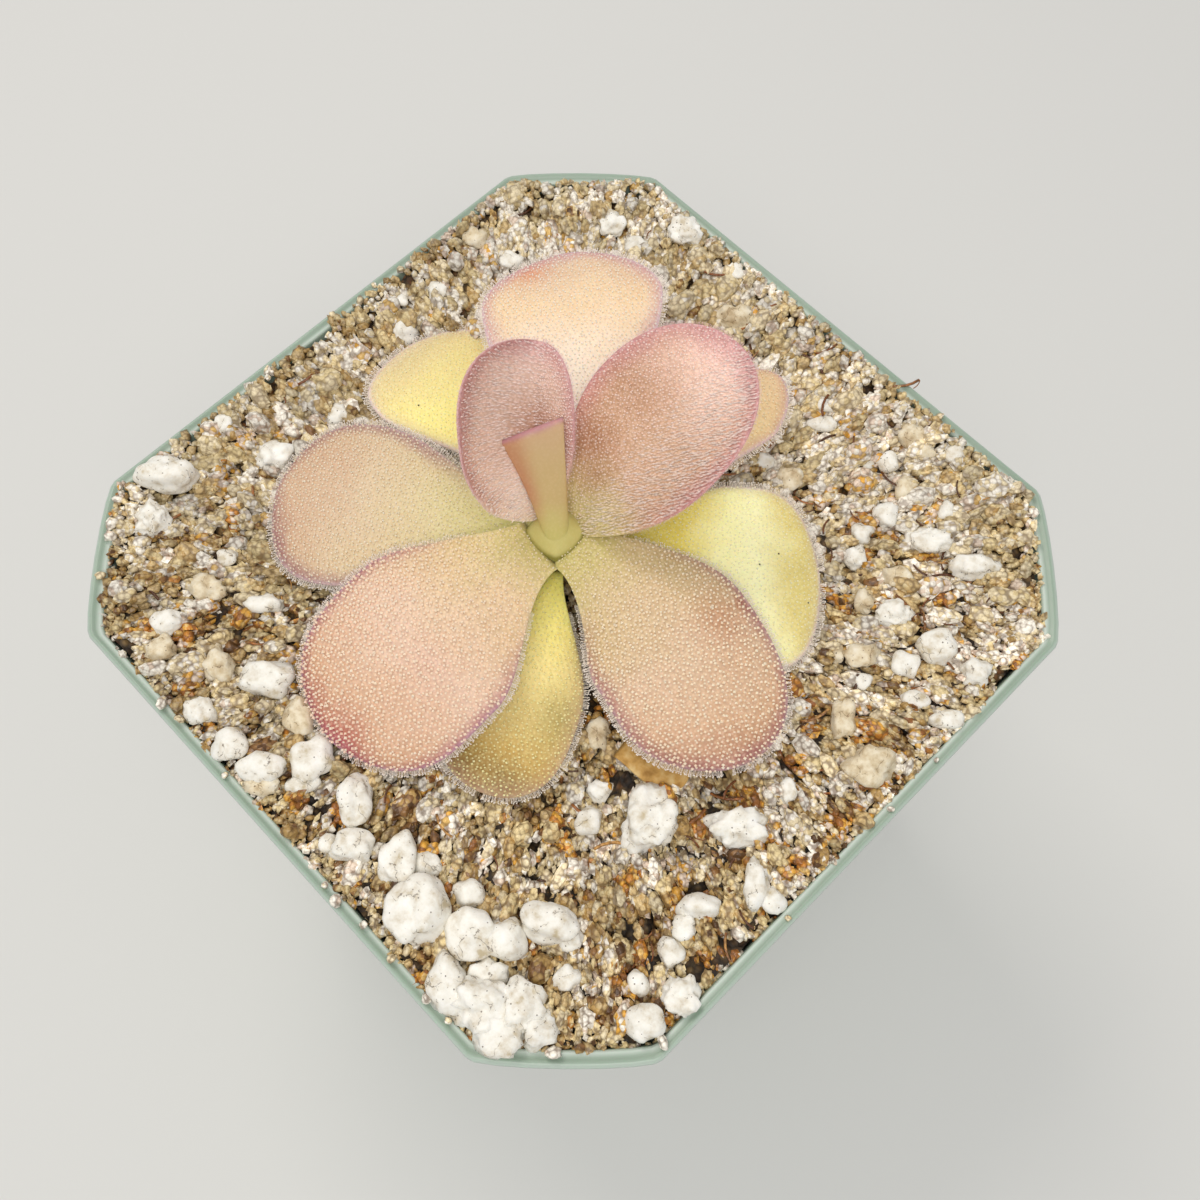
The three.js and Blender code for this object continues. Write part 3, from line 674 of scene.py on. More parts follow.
for name, leaf in LEAVES.items():
    palette, slot = PALETTES[name], LEAF_SLOTS[name]
    young = name in HAIRS
    # hollow sets how strong the painted shade between the skin's cells is.
    skin = leaf_skin(
        "succulent_skin_" + name, palette, relief=0.9 if young else 0.35,
        hollow=0.22 if young else 0.15 if name.startswith("leaf_front") else 0.05)
    bm = blade_bmesh(leaf, PLANT, 60, 56, palette["spots"])
    piece_from(bm, name + "_blade", skin, slot, name)
    if name in GLANDS:
        low = 0.65 if name.startswith("leaf_front") else 0.45
        add_glands(name, leaf, gland_glaze("mucilage_" + name, palette, low, 0.95), slot)
    if name in HAIRS:
        add_hairs(name, leaf, gland_glaze("hair_" + name, palette, 0.3, 0.8, 0.7), slot)
    # The margin droplets are near white: partly their own colour, partly painted glint.
    frost = dict(palette, bead="#F6DCE2" if young else "#FFF8EE")
    glaze = gland_glaze("margin_mucilage_" + name, frost, 0.4 if young else 0.85, 1.0, milky=0)
    add_fringe(name, leaf, glaze, slot, length=0.3 if young else 0.62)


# ---------------------------------------------------------------- the youngest leaf and the crown

CENTRE_FOOT = np.array([-1.6, -0.9, 89.3])
CENTRE_TURN = 146           # the way its blade leans, and how steeply
CENTRE_RISE = 53
CENTRE_LENGTH = 13
CENTRE_FOLD = 14            # its left flank is turned back this far
SHEATH_PLACE = (-1.85, -0.7)
SHEATH_LINE = 88.0          # painted shade: a dark green line where the leaves below clasp the sheath


def centre_leaf_bmesh():
    """The youngest leaf seen from its back: a round stem that widens to a wedge."""
    turn, rise = math.radians(CENTRE_TURN), math.radians(CENTRE_RISE)
    along = np.array([
        math.cos(turn) * math.cos(rise), math.sin(turn) * math.cos(rise), math.sin(rise)])
    side = np.array([-math.sin(turn), math.cos(turn), 0.0])
    over = np.cross(along, side)
    bm, flat = sheet(40, 56)
    s = (flat[:, 0] + 1) / 2
    around = np.pi * flat[:, 1]
    right = mix(-1.15, -2.35, s)
    crease = mix(0.75, 1.6, s)
    flank = mix(0.5, 3.0, s ** 1.6)
    y = mix(right, crease + flank, (np.cos(around) + 1) / 2)
    beyond = np.maximum(y - crease, 0)
    fold = np.radians(CENTRE_FOLD) * smooth(beyond / 2.0)
    place = np.minimum(y, crease) + beyond * np.cos(fold)
    ends = np.sqrt(np.clip((1 - s) / 0.05, 0, 1)) * np.sqrt(np.clip(s / 0.02, 0, 1))
    half = mix(1.15, 0.4, smooth(s / 0.7))
    height = half * ends * np.sign(np.sin(around)) * np.abs(np.sin(around)) ** 0.7
    trough = 0.25 * smooth(s / 0.6) * np.sin(np.pi * (y - right) / 7.2)
    height -= beyond * np.sin(fold) + trough - 0.1
    top = 12.9 - (place + 2.4) * 0.24 - 0.35 * beyond * np.sin(fold)
    reach = mix(-2.5, top, s)
    points = (
        CENTRE_FOOT + reach[:, None] * along + place[:, None] * side + height[:, None] * over)
    # The blush on the turned-back left flank is partly the leaf's own orange and partly painted
    # shade of the flank.
    warm = smooth((y - crease + 0.6) / (flank + 0.4)) * smooth((s - 0.2) / 0.35)
    return wrap_sheet(bm, points, {"along": s, "rim": (1 - s) * CENTRE_LENGTH, "blush": warm})


def sheath_bmesh():
    """The joined leaf bases that swell out round the youngest leaf's stem."""
    profile = [
        (0.8, 91.7), (1.12, 91.3), (1.28, 90.8), (1.45, 90.3), (1.7, 89.8), (2.0, 89.35),
        (2.35, 88.9), (2.65, 88.4), (2.9, 87.9), (3.05, 87.2), (3.0, 86.4), (2.6, 85.4),
        (1.9, 84.5), (1.0, 84.0)]
    bm = bmesh.new()
    loop = [bm.verts.new((radius, 0, z)) for radius, z in profile]
    edges = [bm.edges.new(pair) for pair in zip(loop, loop[1:])]
    bmesh.ops.spin(
        bm, geom=loop + edges, cent=(0, 0, 0), axis=(0, 0, 1), dvec=(0, 0, 0),
        angle=math.tau, steps=64, use_merge=True)
    bmesh.ops.remove_doubles(bm, verts=bm.verts, dist=0.001)
    bmesh.ops.holes_fill(bm, edges=[e for e in bm.edges if e.is_boundary], sides=0)
    layers = {label: bm.verts.layers.float.new(label) for label in ("along", "rim", "blush")}
    for vert in bm.verts:
        vert[layers["along"]] = 0.5
        # The margin band measured from this level is painted shade at the sheath's foot.
        vert[layers["rim"]] = max(0.0, vert.co.z - SHEATH_LINE)
        low = 1 - float(smooth((vert.co.z - 87.8) / 1.6))
        across, ahead = (vert.co.x + vert.co.y) * DIAGONAL, (vert.co.x - vert.co.y) * DIAGONAL
        length = max(1e-6, math.hypot(across, ahead))
        corner = (abs(across / length) ** 1.3 + abs(ahead / length) ** 1.3) ** (-1 / 1.3)
        grow = mix(1.0, corner * 1.18, low)
        lean = max(0.0, vert.co.z - 88.6)
        collar = max(0.0, vert.co.z - 89.3)
        vert.co.x = SHEATH_PLACE[0] + vert.co.x * grow - 0.2 * lean - 0.24 * collar
        vert.co.y = SHEATH_PLACE[1] + vert.co.y * grow + 0.13 * lean + 0.145 * collar
    return bm


palette = PALETTES["leaf_centre"]
smooth_skin = leaf_skin("smooth_young_skin", palette, 0.08)
piece_from(centre_leaf_bmesh(), "leaf_centre_blade", smooth_skin, "leaf_olive", "leaf_centre")

# The sheath's dark green margin band is painted shade where the leaves below clasp it.
BASE_SKIN = palette_of(
    [(0.3, "#C8BC70"), (0.5, "#CBBF76"), (0.7, "#CDC17E")],
    "#77722E", 0.25, 0.85, "#E6DFA6", edge="#8A8438", fade=0.0)
piece_from(sheath_bmesh(), "crown_sheath", leaf_skin("crown_tissue", BASE_SKIN, 0.1), "crown")


# ---------------------------------------------------------------- growing mix

GRIT_COLOURS = [
    (0.00, "#5A3E22"), (0.04, "#946C40"), (0.10, "#C4A062"), (0.20, "#DABE88"),
    (0.34, "#E6D19E"), (0.50, "#EEDEB8"), (0.64, "#FAF4E6"), (0.78, "#E6D2BE"),
    (0.85, "#DEB76E"), (0.89, "#E6AC46"), (0.93, "#C88638"), (0.97, "#9C6430"),
]
# What the clods are made of: how common each is, and the range of its tints and their shade.
CLOD_KINDS = [
    (0.26, (0.62, 0.84), 1.14), (0.22, (0.42, 0.80), 1.05), (0.24, (0.20, 0.60), 0.98),
    (0.12, (0.84, 0.99), 1.0), (0.16, (0.02, 0.36), 0.85),
]
MIX_LEVEL = 80.0
MIX_HALF = 44               # half the mix's width
GRIT_REACH = 43.3           # how far out the grit lies
SOIL_REACH = 41.2           # how far out the CAD mix is sure to be
BANK_FRONT, BANK_REAR = 81.0, 81.7     # how high the grit is banked up at the wall
POT_HALF = 44.5
CORNER_CUT = 13.6
CORNER_BOW = 0.9            # how far each cut corner bows out


def inside_pot(x, y, half):
    """True where a place is inside the pot's octagon of that half width."""
    leg = half + (half - CORNER_CUT * half / POT_HALF) + CORNER_BOW
    return (np.abs(x) < half) & (np.abs(y) < half) & (np.abs(x) + np.abs(y) < leg)


def grain_moulds(shapes, rough, squash):
    """Angular grains: simple solids with their corners pushed in and out."""
    moulds = []
    for shape in shapes:
        bm = bmesh.new()
        if shape == "cube":
            bmesh.ops.create_cube(bm, size=1.25)
        elif shape == "shard":
            bmesh.ops.create_uvsphere(bm, u_segments=4, v_segments=2, radius=1.0)
        else:
            bmesh.ops.create_icosphere(bm, subdivisions=2 if shape == "lump" else 1, radius=1.0)
        for vert in bm.verts:
            vert.co *= 1 + float(draw.normal(0, rough))
            vert.co.z *= squash
        moulds.append(mould_of(bm))
    return moulds


def gritty(name, colours, spread):
    """Washed grit and sand: mineral grains with a low shine, small darker specks and painted shade
    in the crevices between crumbs.
    """
    material, tree, shader, coords = new_material(name)
    tint = add_node(tree, "ShaderNodeAttribute", {"attribute_name": "tint"}).outputs["Fac"]
    shade = add_node(tree, "ShaderNodeAttribute", {"attribute_name": "shade"}).outputs["Fac"]
    crumbs = add_node(tree, "ShaderNodeTexVoronoi", None, {
        "Vector": coords, "Scale": 1 / (0.6 * MM)})
    pick = add_node(tree, "ShaderNodeSeparateColor", None, {
        "Color": crumbs.outputs["Color"]}).outputs[0]
    own = add_node(tree, "ShaderNodeMath", {"operation": "MULTIPLY_ADD"}, {
        0: pick, 1: 0.16, 2: tint}).outputs[0]
    varied = add_node(tree, "ShaderNodeMath", {"operation": "SUBTRACT"}, {
        0: own, 1: 0.08}).outputs[0]
    grain = add_node(tree, "ShaderNodeValToRGB", None, {0: varied}, colours)
    grain.color_ramp.interpolation = "CONSTANT"
    mottle = add_node(tree, "ShaderNodeTexNoise", None, {
        "Vector": coords, "Scale": 1 / (0.4 * MM), "Detail": 4.0, "Roughness": 0.65}).outputs["Fac"]
    stain = add_node(tree, "ShaderNodeMapRange", None, {
        "Value": mottle, "From Min": 0.56, "From Max": 0.32, "To Max": spread}).outputs[0]
    # Painted shade: the crumbs darken towards their edges, in the crevices between them.
    crevice = add_node(tree, "ShaderNodeMapRange", None, {
        "Value": crumbs.outputs["Distance"], "From Min": 0.4, "From Max": 0.75,
        "To Max": 1.6 * spread}).outputs[0]
    across = add_node(tree, "ShaderNodeVectorMath", {"operation": "DOT_PRODUCT"}, {
        0: coords, 1: (-DIAGONAL, DIAGONAL, 0)}).outputs["Value"]
    # The stains and the painted crevice shade are a little fainter towards the far side.
    moist = add_node(tree, "ShaderNodeMapRange", None, {
        "Value": across, "From Min": -25 * MM, "From Max": 15 * MM, "To Min": 1.0,
        "To Max": 0.85}).outputs[0]
    worst = add_node(tree, "ShaderNodeMath", {"operation": "MAXIMUM"}, {
        0: stain, 1: crevice}).outputs[0]
    # This holds both the real stains and the painted crevice shade.
    dirt = add_node(tree, "ShaderNodeMath", {"operation": "MULTIPLY"}, {
        0: worst, 1: moist}).outputs[0]
    stained = add_node(tree, "ShaderNodeMix", {"data_type": "RGBA"}, {
        0: dirt, 6: grain.outputs["Color"], 7: "#5C3C20"}).outputs[2]
    toned = add_node(tree, "ShaderNodeVectorMath", {"operation": "SCALE"}, {
        0: stained, "Scale": shade}).outputs[0]
    fine = add_node(tree, "ShaderNodeBump", None, {
        "Height": mottle, "Strength": 0.5, "Distance": 0.12 * MM}).outputs["Normal"]
    bump = add_node(tree, "ShaderNodeBump", {"invert": True}, {
        "Height": crumbs.outputs["Distance"], "Strength": 0.7, "Distance": 0.25 * MM,
        "Normal": fine}).outputs["Normal"]
    fill(tree, shader, {"Base Color": toned, "Normal": bump, "Roughness": 0.32})
    return material


mix_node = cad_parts["growing_mix"]
SOIL = tree_of(mix_node.data)
ABOVE_ALL, SOIL_LOWEST, BELOW_GRIT = 0.2, 0.07, 0.076       # heights in metres, for the rays


def soil_height(x, y):
    """Height of the growing mix's top under a place, in millimetres."""
    hit = SOIL.ray_cast(Vector((x * MM, y * MM, ABOVE_ALL)), Vector((0, 0, -1)))[0]
    return hit.z / MM if hit and hit.z > SOIL_LOWEST else MIX_LEVEL


# Lumps of perlite: where they lie, their size along the pot's two diagonals, of which the first
# runs towards +X and +Y, and whether they are rough. The first table stands for the CAD model's
# lumps, in the same order.
PERLITE_LUMPS = [
    (16.9, -38.6, 5.4, 6.6, 0), (22.2, -35.9, 4.8, 5.0, 0), (27.1, -29.5, 5.2, 4.0, 0),
    (11.4, -36.5, 3.4, 5.4, 0), (7.2, -39.0, 4.6, 3.2, 0), (3.4, -35.4, 3.5, 5.6, 0),
    (-3.0, -35.9, 4.2, 4.6, 0), (28.1, -40.1, 5.0, 4.9, 1), (31.1, -37.5, 4.8, 4.6, 1),
    (-26.3, -37.2, 3.7, 3.1, 0), (-40.4, -26.1, 6.6, 4.2, 0), (-34.3, -15.6, 3.9, 3.4, 1),
    (-37.2, -30.7, 3.4, 3.9, 1), (26.9, -14.8, 5.6, 6.0, 1), (33.7, -8.7, 5.8, 4.0, 1),
    (35.3, 21.8, 3.9, 3.6, 0), (29.3, 21.5, 3.8, 2.8, 1), (41.6, -25.2, 3.3, 3.4, 1),
    (40.9, -29.8, 3.6, 3.8, 0), (-29.9, 35.6, 3.0, 3.1, 1), (-22.6, 41.0, 3.6, 3.8, 1),
    (26.2, 31.0, 4.4, 2.8, 1),
]
LOOSE_PERLITE = [
    (25.1, -34.1, 4.1, 4.3, 0), (-10.2, -41.2, 4.0, 3.5, 0), (-1.9, -38.4, 3.3, 2.2, 0),
    (13.7, -34.4, 2.7, 3.1, 0), (19.0, -33.4, 3.2, 2.9, 0), (24.2, -41.0, 3.6, 5.4, 1),
    (31.7, -40.7, 4.6, 4.2, 1), (34.0, -37.5, 3.6, 3.6, 1), (26.4, -37.4, 3.6, 2.8, 1),
    (22.1, -19.4, 3.0, 2.7, 0), (29.5, -29.0, 2.5, 2.5, 0), (20.7, -16.1, 2.4, 2.4, 1),
    (39.2, -11.7, 2.5, 5.0, 1), (41.6, -11.8, 2.5, 2.5, 0), (36.7, -17.5, 4.6, 2.6, 0),
    (37.1, -20.0, 2.7, 2.4, 1), (34.8, -1.9, 2.0, 2.9, 1), (34.2, 17.8, 2.7, 3.0, 0),
    (37.6, 15.2, 3.0, 1.9, 0), (41.4, 15.7, 3.8, 1.7, 0), (40.2, 22.2, 3.0, 3.0, 1),
    (37.7, -27.4, 2.0, 2.4, 0), (37.6, -22.8, 2.6, 3.0, 0), (-25.6, 35.5, 2.5, 2.7, 1),
    (-13.9, 41.5, 1.9, 2.2, 1), (7.5, 33.7, 3.0, 1.9, 0), (6.3, 35.9, 2.2, 1.8, 0),
    (16.2, 35.3, 2.4, 2.2, 0), (20.7, 30.0, 2.8, 2.9, 1), (20.2, 26.4, 2.4, 2.1, 1),
    (21.7, 23.5, 2.5, 2.5, 1), (-28.3, -27.4, 2.6, 1.9, 0), (-13.4, -33.5, 5.3, 4.0, 1),
    (-20.7, -28.0, 3.8, 2.1, 1), (-15.4, -41.1, 3.1, 2.8, 1), (-5.6, -40.3, 4.9, 3.0, 0),
    (5.1, -40.4, 1.8, 1.9, 0), (-41.6, -17.2, 2.4, 2.3, 0), (-36.4, 6.6, 2.9, 2.6, 1),
    (-38.1, 13.5, 2.2, 2.1, 1), (-40.0, 9.3, 1.5, 1.4, 0), (-35.0, 23.2, 2.9, 2.1, 1),
    (-33.6, -6.4, 2.4, 2.6, 1), (9.7, 35.7, 1.8, 1.4, 0), (6.1, 25.1, 2.4, 2.1, 1),
    (14.5, 33.8, 1.5, 1.6, 0), (20.9, 41.2, 2.2, 2.1, 0), (25.3, 35.5, 2.0, 2.1, 1),
    (32.1, 31.9, 4.9, 2.6, 1), (32.2, 13.1, 2.0, 1.9, 0), (32.3, -32.1, 2.4, 2.4, 1),
]
# Cream lumps of pumice among them, in the same form.
PUMICE_LUMPS = [
    (-26.6, -31.6, 3.8, 2.8, 1), (-24.2, -39.7, 3.5, 2.6, 1), (-18.7, -36.3, 3.1, 4.0, 1),
    (-7.8, -33.8, 3.3, 4.0, 1), (-4.4, -41.4, 3.8, 2.1, 1), (-40.5, 21.7, 2.9, 2.6, 1),
    (-9.8, 36.6, 4.4, 3.0, 1), (9.7, 25.6, 3.1, 2.6, 1), (16.2, 39.6, 2.9, 2.6, 1),
    (18.6, 39.4, 2.2, 1.6, 1), (20.1, 34.2, 2.4, 3.0, 1), (39.2, 5.9, 4.9, 4.0, 1),
    (33.6, 8.2, 2.6, 4.0, 1), (26.8, 25.1, 2.9, 2.6, 1), (26.0, 20.2, 2.2, 3.0, 1),
    (30.1, 15.1, 3.8, 2.6, 1), (27.8, 13.6, 1.5, 2.8, 0), (16.1, -12.0, 2.6, 3.0, 1),
]
# Clods of small grains stuck together: where they lie, their size, and how high they stand.
CLODS = [
    (18.9, -24.6, 3.8, 3.4, 1.4), (12.5, -27.5, 3.7, 3.2, 1.3), (26.4, -22.8, 3.7, 3.2, 1.4),
    (30.4, -19.6, 4.2, 5.2, 1.5), (-32.1, -38.6, 5.3, 4.4, 1.5), (21.5, -28.0, 3.0, 3.4, 1.0),
    (38.5, -4.0, 3.6, 3.0, 1.2), (27.0, 4.0, 3.4, 3.0, 1.0), (35.5, 1.8, 4.0, 2.6, 1.0),
    (-30.0, -23.0, 4.0, 3.0, 1.1), (-37.0, -5.0, 3.4, 3.0, 1.1), (30.0, 36.5, 4.0, 2.6, 1.0),
    (-5.0, 40.5, 4.2, 3.0, 1.2), (36.5, 28.0, 3.6, 2.8, 1.0), (5.0, 40.8, 3.4, 2.6, 1.0),
]


def spread_over(x, y, lump):
    """Squared share of the way from a lump's middle to its outline, at many places."""
    a = ((x - lump[0]) + (y - lump[1])) * DIAGONAL
    b = ((y - lump[1]) - (x - lump[0])) * DIAGONAL
    return (2 * a / lump[2]) ** 2 + (2 * b / lump[3]) ** 2


# Open hollows in the mix: where they lie, and their size along the same two diagonals.
HOLLOWS = [
    (34.5, -22.3, 1.6, 3.2), (34.8, -16.3, 3.4, 1.8), (41.8, -17.5, 4.6, 1.6),
    (42.3, -12.0, 3.4, 1.2), (33.4, -24.2, 1.4, 2.0), (21.6, -13.6, 3.0, 2.4),
    (12.0, -9.6, 2.4, 4.0), (40.6, -22.2, 1.8, 1.4),
]


def clear_of_lumps(x, y):
    """True where no lump of perlite or pumice covers the mix."""
    free = np.ones(len(x), bool)
    for lump in PERLITE_LUMPS + LOOSE_PERLITE + PUMICE_LUMPS:
        free &= spread_over(x, y, lump) > 0.8       # grains may lie on its outermost edge
    for hollow in HOLLOWS:
        free &= spread_over(x, y, hollow) > 1
    return free


def noise_at(x, y, scale, seed):
    """Smooth noise of about -0.6 to 0.6 at many places; scale is its wavelength."""
    return np.array([noise.noise(Vector((a / scale, b / scale, seed))) for a, b in zip(x, y)])


def scatter_grains(pitch, jitter, half):
    """Places over the mix on a disturbed grid, inside the pot and clear of the lumps."""
    line = np.arange(-half, half, pitch)
    x, y = (part.ravel() for part in np.meshgrid(line, line))
    x = x + draw.uniform(-jitter, jitter, x.shape)
    y = y + draw.uniform(-jitter, jitter, y.shape)
    keep = inside_pot(x, y, half)
    x, y = x[keep], y[keep]
    keep = clear_of_lumps(x, y)
    return x[keep], y[keep]


def seed_clods(pitch):
    """Clods of grains that stick together: their places, kinds, shades and heights."""
    line = np.arange(-MIX_HALF, MIX_HALF, pitch)
    x, y = (part.ravel() for part in np.meshgrid(line, line))
    x = x + draw.uniform(-0.5, 0.5, len(x)) * pitch
    y = y + draw.uniform(-0.5, 0.5, len(x)) * pitch
    bright = 0.14 * (x + y) * DIAGONAL / MIX_HALF + 0.13 * (y - x) * DIAGONAL / MIX_HALF
    pick = np.clip(draw.uniform(0, 1, len(x)) - bright, 0, 0.9999)
    kind = np.searchsorted(np.cumsum([part[0] for part in CLOD_KINDS]), pick)
    tree = KDTree(len(x))
    for index, place in enumerate(zip(x, y)):
        tree.insert((*place, 0), index)
    tree.balance()
    return tree, kind, draw.uniform(0.8, 1.1, len(x)), draw.uniform(-0.1, 0.9, len(x))


CLOD_TREE, CLOD_KIND, CLOD_SHADE, CLOD_HEIGHT = seed_clods(2.3)
CLOD_RADIUS = 1.9
CLOD_LOYALTY = 0.8          # the share of a clod's grains that have its own colour
SEAM_WIDTH, SEAM_DEPTH = 0.3, 0.35     # the furrow between two clods


def clods_at(x, y):
    """The clod at each place, how far its middle is, and how near the next clod is."""
    found = [CLOD_TREE.find_n((a, b, 0), 2) for a, b in zip(x, y)]
    index = np.array([pair[0][1] for pair in found])
    near = np.array([pair[0][2] for pair in found])
    return index, near, np.array([pair[1][2] for pair in found]) - near


def wall_share(x, y):
    """How far out a place is: its half width on the pot's rounded octagon."""
    return np.maximum(np.maximum(abs(x), abs(y)), (abs(x) + abs(y)) / 1.72)


def mix_surface(x, y, clod, near, seam):
    """Height of the grit at many places: soil, waves, clods and the bank at the wall."""
    wall = wall_share(x, y)
    pull = np.minimum(1, SOIL_REACH / wall)
    z = np.array([soil_height(a, b) for a, b in zip(x * pull, y * pull)])
    z = z + 0.8 * noise_at(x, y, 5.0, 3.3)
    z = z + CLOD_HEIGHT[clod] * np.clip(1 - (near / CLOD_RADIUS) ** 2, 0, 1)
    z = z - SEAM_DEPTH * (seam < SEAM_WIDTH)
    gap = smooth((x - 38.5) / 3) * smooth((-8 - y) / 5)      # the sunken mix at the right wall
    far_side = smooth((y - x) / 12 + 0.5)
    bank = mix(mix(BANK_FRONT, BANK_REAR, far_side), MIX_LEVEL, gap)
    z = mix(z, bank + 0.3 * (z - 80.5), smooth((wall - 38.8) / 3.4))
    for mound in CLODS:
        z = z + mound[4] * 0.7 * np.sqrt(np.clip(1 - spread_over(x, y, mound), 0, 1))
    return z


# Undersides of the lowest leaves, which the grains stay below.
LOW_LEAVES = [tree_of(bpy.data.objects[name + "_blade"].data) for name in (
    "leaf_low_rear_left", "leaf_low_right", "leaf_low_front", "leaf_left", "leaf_front_left")]


def below_leaves(x, y, z, radius):
    """True where a grain of that radius does not touch a leaf above it."""
    free = np.ones(len(x), bool)
    for index in np.flatnonzero(np.hypot(x, y) < 40):
        start = Vector((x[index] * MM, y[index] * MM, BELOW_GRIT))
        for leaf in LOW_LEAVES:
            hit = leaf.ray_cast(start, Vector((0, 0, 1)))[0]
            if hit and hit.z / MM < z[index] + radius[index] * 1.3:
                free[index] = False
    return free


def grain_looks(x, y, clod, far, pale):
    """The tint and the shade of each grain; most grains have those of their clod."""
    count = len(x)
    kind = CLOD_KIND[clod]
    least, most = (np.array([part[1][end] for part in CLOD_KINDS])[kind] for end in (0, 1))
    own = draw.uniform(0, 1, count) < CLOD_LOYALTY
    tint = np.where(own, mix(least, most, draw.uniform(0, 1, count)), draw.uniform(0, 1, count))
    tint = mix(tint, 0.46, 0.25 * far)
    whiter = draw.uniform(0, 1, count) < pale * smooth((y - x) * DIAGONAL / 25 + 1.4)
    tint = np.where(whiter, draw.uniform(0.5, 0.82, count), tint)
    shade = np.where(own, np.array([part[2] for part in CLOD_KINDS])[kind], 0.95)
    bright = 1.03 - 0.05 * (y - x) * DIAGONAL / MIX_HALF + 0.05 * (x + y) * DIAGONAL / MIX_HALF
    return tint, shade * CLOD_SHADE[clod] * draw.uniform(0.88, 1.1, count) * bright


def grain_frames(x, y, radius):
    """Random turns and sizes; near the wall the grains are drawn out a little, away from it."""
    turns = random_turns(len(x))
    sizes = draw.uniform(0.68, 1.42, (len(x), 3)) * radius[:, None]
    frames = turns * sizes[:, None, :]
    away = np.hypot(x, y)
    outward = np.stack([x, y, np.zeros(len(x))], axis=1) / away[:, None]
    reach = 0.55 * smooth((away - 12) / 26) * np.clip((42.6 - wall_share(x, y)) / 3, 0, 1)
    frames += reach[:, None, None] * outward[:, :, None] * (outward[:, :, None] * frames).sum(
        axis=1, keepdims=True)
    return frames


def add_grains(name, pitch, sizes, sink, moulds, flat=False, pale=0.0, thin=0.0):
    """One layer of grains lying on the mix, thinner and paler towards the far corner."""
    low, high = sizes
    x, y = scatter_grains(pitch, pitch * 0.42, GRIT_REACH - 0.8 * max(0, high - 1.4))
    clod, near, seam = clods_at(x, y)
    keep = (noise_at(x, y, 2.6, 7.7) < 0.46) | (draw.uniform(0, 1, len(x)) < 0.2)
    far = smooth((y - x) * DIAGONAL / 34 + 0.35)
    keep &= draw.uniform(0, 1, len(x)) > thin * far
    x, y, clod, near, seam, far = (part[keep] for part in (x, y, clod, near, seam, far))
    z = mix_surface(x, y, clod, near, seam)
    inside = np.clip((42 - wall_share(x, y)) / 3, 0, 1)
    spread = draw.uniform(0, 1, len(x)) ** 1.5
    radius = mix(low, high, spread) / 2 * (1 + 0.25 * far * inside)
    z = z + radius * draw.uniform(sink, sink + 0.7, len(x))
    tint, shade = grain_looks(x, y, clod, far, pale)
    frames = grain_frames(x, y, radius)
    picks = draw.integers(0, len(moulds), len(x))
    keep = below_leaves(x, y, z, radius)
    copies_piece(
        name, moulds, picks[keep], np.stack([x, y, z], axis=1)[keep], frames[keep], grit, "grit",
        {"tint": tint[keep], "shade": shade[keep]}, flat=flat)


grit = gritty("washed_grit", GRIT_COLOURS, 0.45)
rounded = grain_moulds(["ball"] * 9, 0.17, 0.85)
shards = grain_moulds(["shard"] * 6 + ["cube"] * 2, 0.16, 0.9)
lumps = grain_moulds(["lump"] * 6, 0.12, 0.75)
add_grains("grit_bed", 0.86, (0.95, 1.4), -0.35, rounded)
add_grains("grit_middle", 1.1, (0.7, 1.15), 0.3, rounded, flat=True)
add_grains("grit_fine", 0.75, (0.45, 0.85), 0.8, shards, flat=True, thin=0.6)
add_grains("grit_coarse", 2.9, (1.3, 2.3), 0.1, lumps, flat=True, pale=0.7)


def moist_soil():
    """Moist peat and sand: small earthy grains with painted shade in the gaps, darker at the front
    right.
    """
    material, tree, shader, coords = new_material("moist_peat_and_sand")
    grains = add_node(tree, "ShaderNodeTexVoronoi", None, {
        "Vector": coords, "Scale": 1 / (0.75 * MM)})
    patch = add_node(tree, "ShaderNodeTexNoise", None, {
        "Vector": coords, "Scale": 1 / (3.5 * MM), "Detail": 3.0}).outputs["Fac"]
    pick = add_node(tree, "ShaderNodeSeparateColor", None, {
        "Color": grains.outputs["Color"]}).outputs[0]
    earth = add_node(tree, "ShaderNodeValToRGB", None, {0: pick}, [
        (0.0, "#4A341C"), (0.3, "#7A562E"), (0.6, "#A07C48"), (0.85, "#BE9A62"),
        (0.97, "#B06C2C")]).outputs["Color"]
    # Painted shade: each small grain darkens towards its edge, in the gaps between grains.
    deep = add_node(tree, "ShaderNodeMapRange", None, {
        "Value": grains.outputs["Distance"], "From Min": 0.25, "From Max": 0.62, "To Min": 1.0,
        "To Max": 0.3}).outputs[0]
    damp = add_node(tree, "ShaderNodeMapRange", None, {
        "Value": patch, "From Min": 0.35, "From Max": 0.65, "To Min": 0.4,
        "To Max": 0.9}).outputs[0]
    across = add_node(tree, "ShaderNodeVectorMath", {"operation": "DOT_PRODUCT"}, {
        0: coords, 1: (-DIAGONAL, DIAGONAL, 0)}).outputs["Value"]
    # The soil is darker towards the front right.
    dry = add_node(tree, "ShaderNodeMapRange", None, {
        "Value": across, "From Min": -25 * MM, "From Max": 25 * MM, "To Min": 0.35}).outputs[0]
    dim = add_node(tree, "ShaderNodeMath", {"operation": "MULTIPLY"}, {0: damp, 1: dry}).outputs[0]
    # This is the painted shade in the gaps, times the damp patches and the darkening towards the
    # front right.
    light = add_node(tree, "ShaderNodeMath", {"operation": "MULTIPLY"}, {
        0: deep, 1: dim}).outputs[0]
    toned = add_node(tree, "ShaderNodeVectorMath", {"operation": "SCALE"}, {
        0: earth, "Scale": light}).outputs[0]
    rise = add_node(tree, "ShaderNodeBump", {"invert": True}, {
        "Height": grains.outputs["Distance"], "Strength": 0.8,
        "Distance": 0.3 * MM}).outputs["Normal"]
    fill(tree, shader, {"Base Color": toned, "Normal": rise, "Roughness": 0.7})
    return material


wear(mix_node, moist_soil())


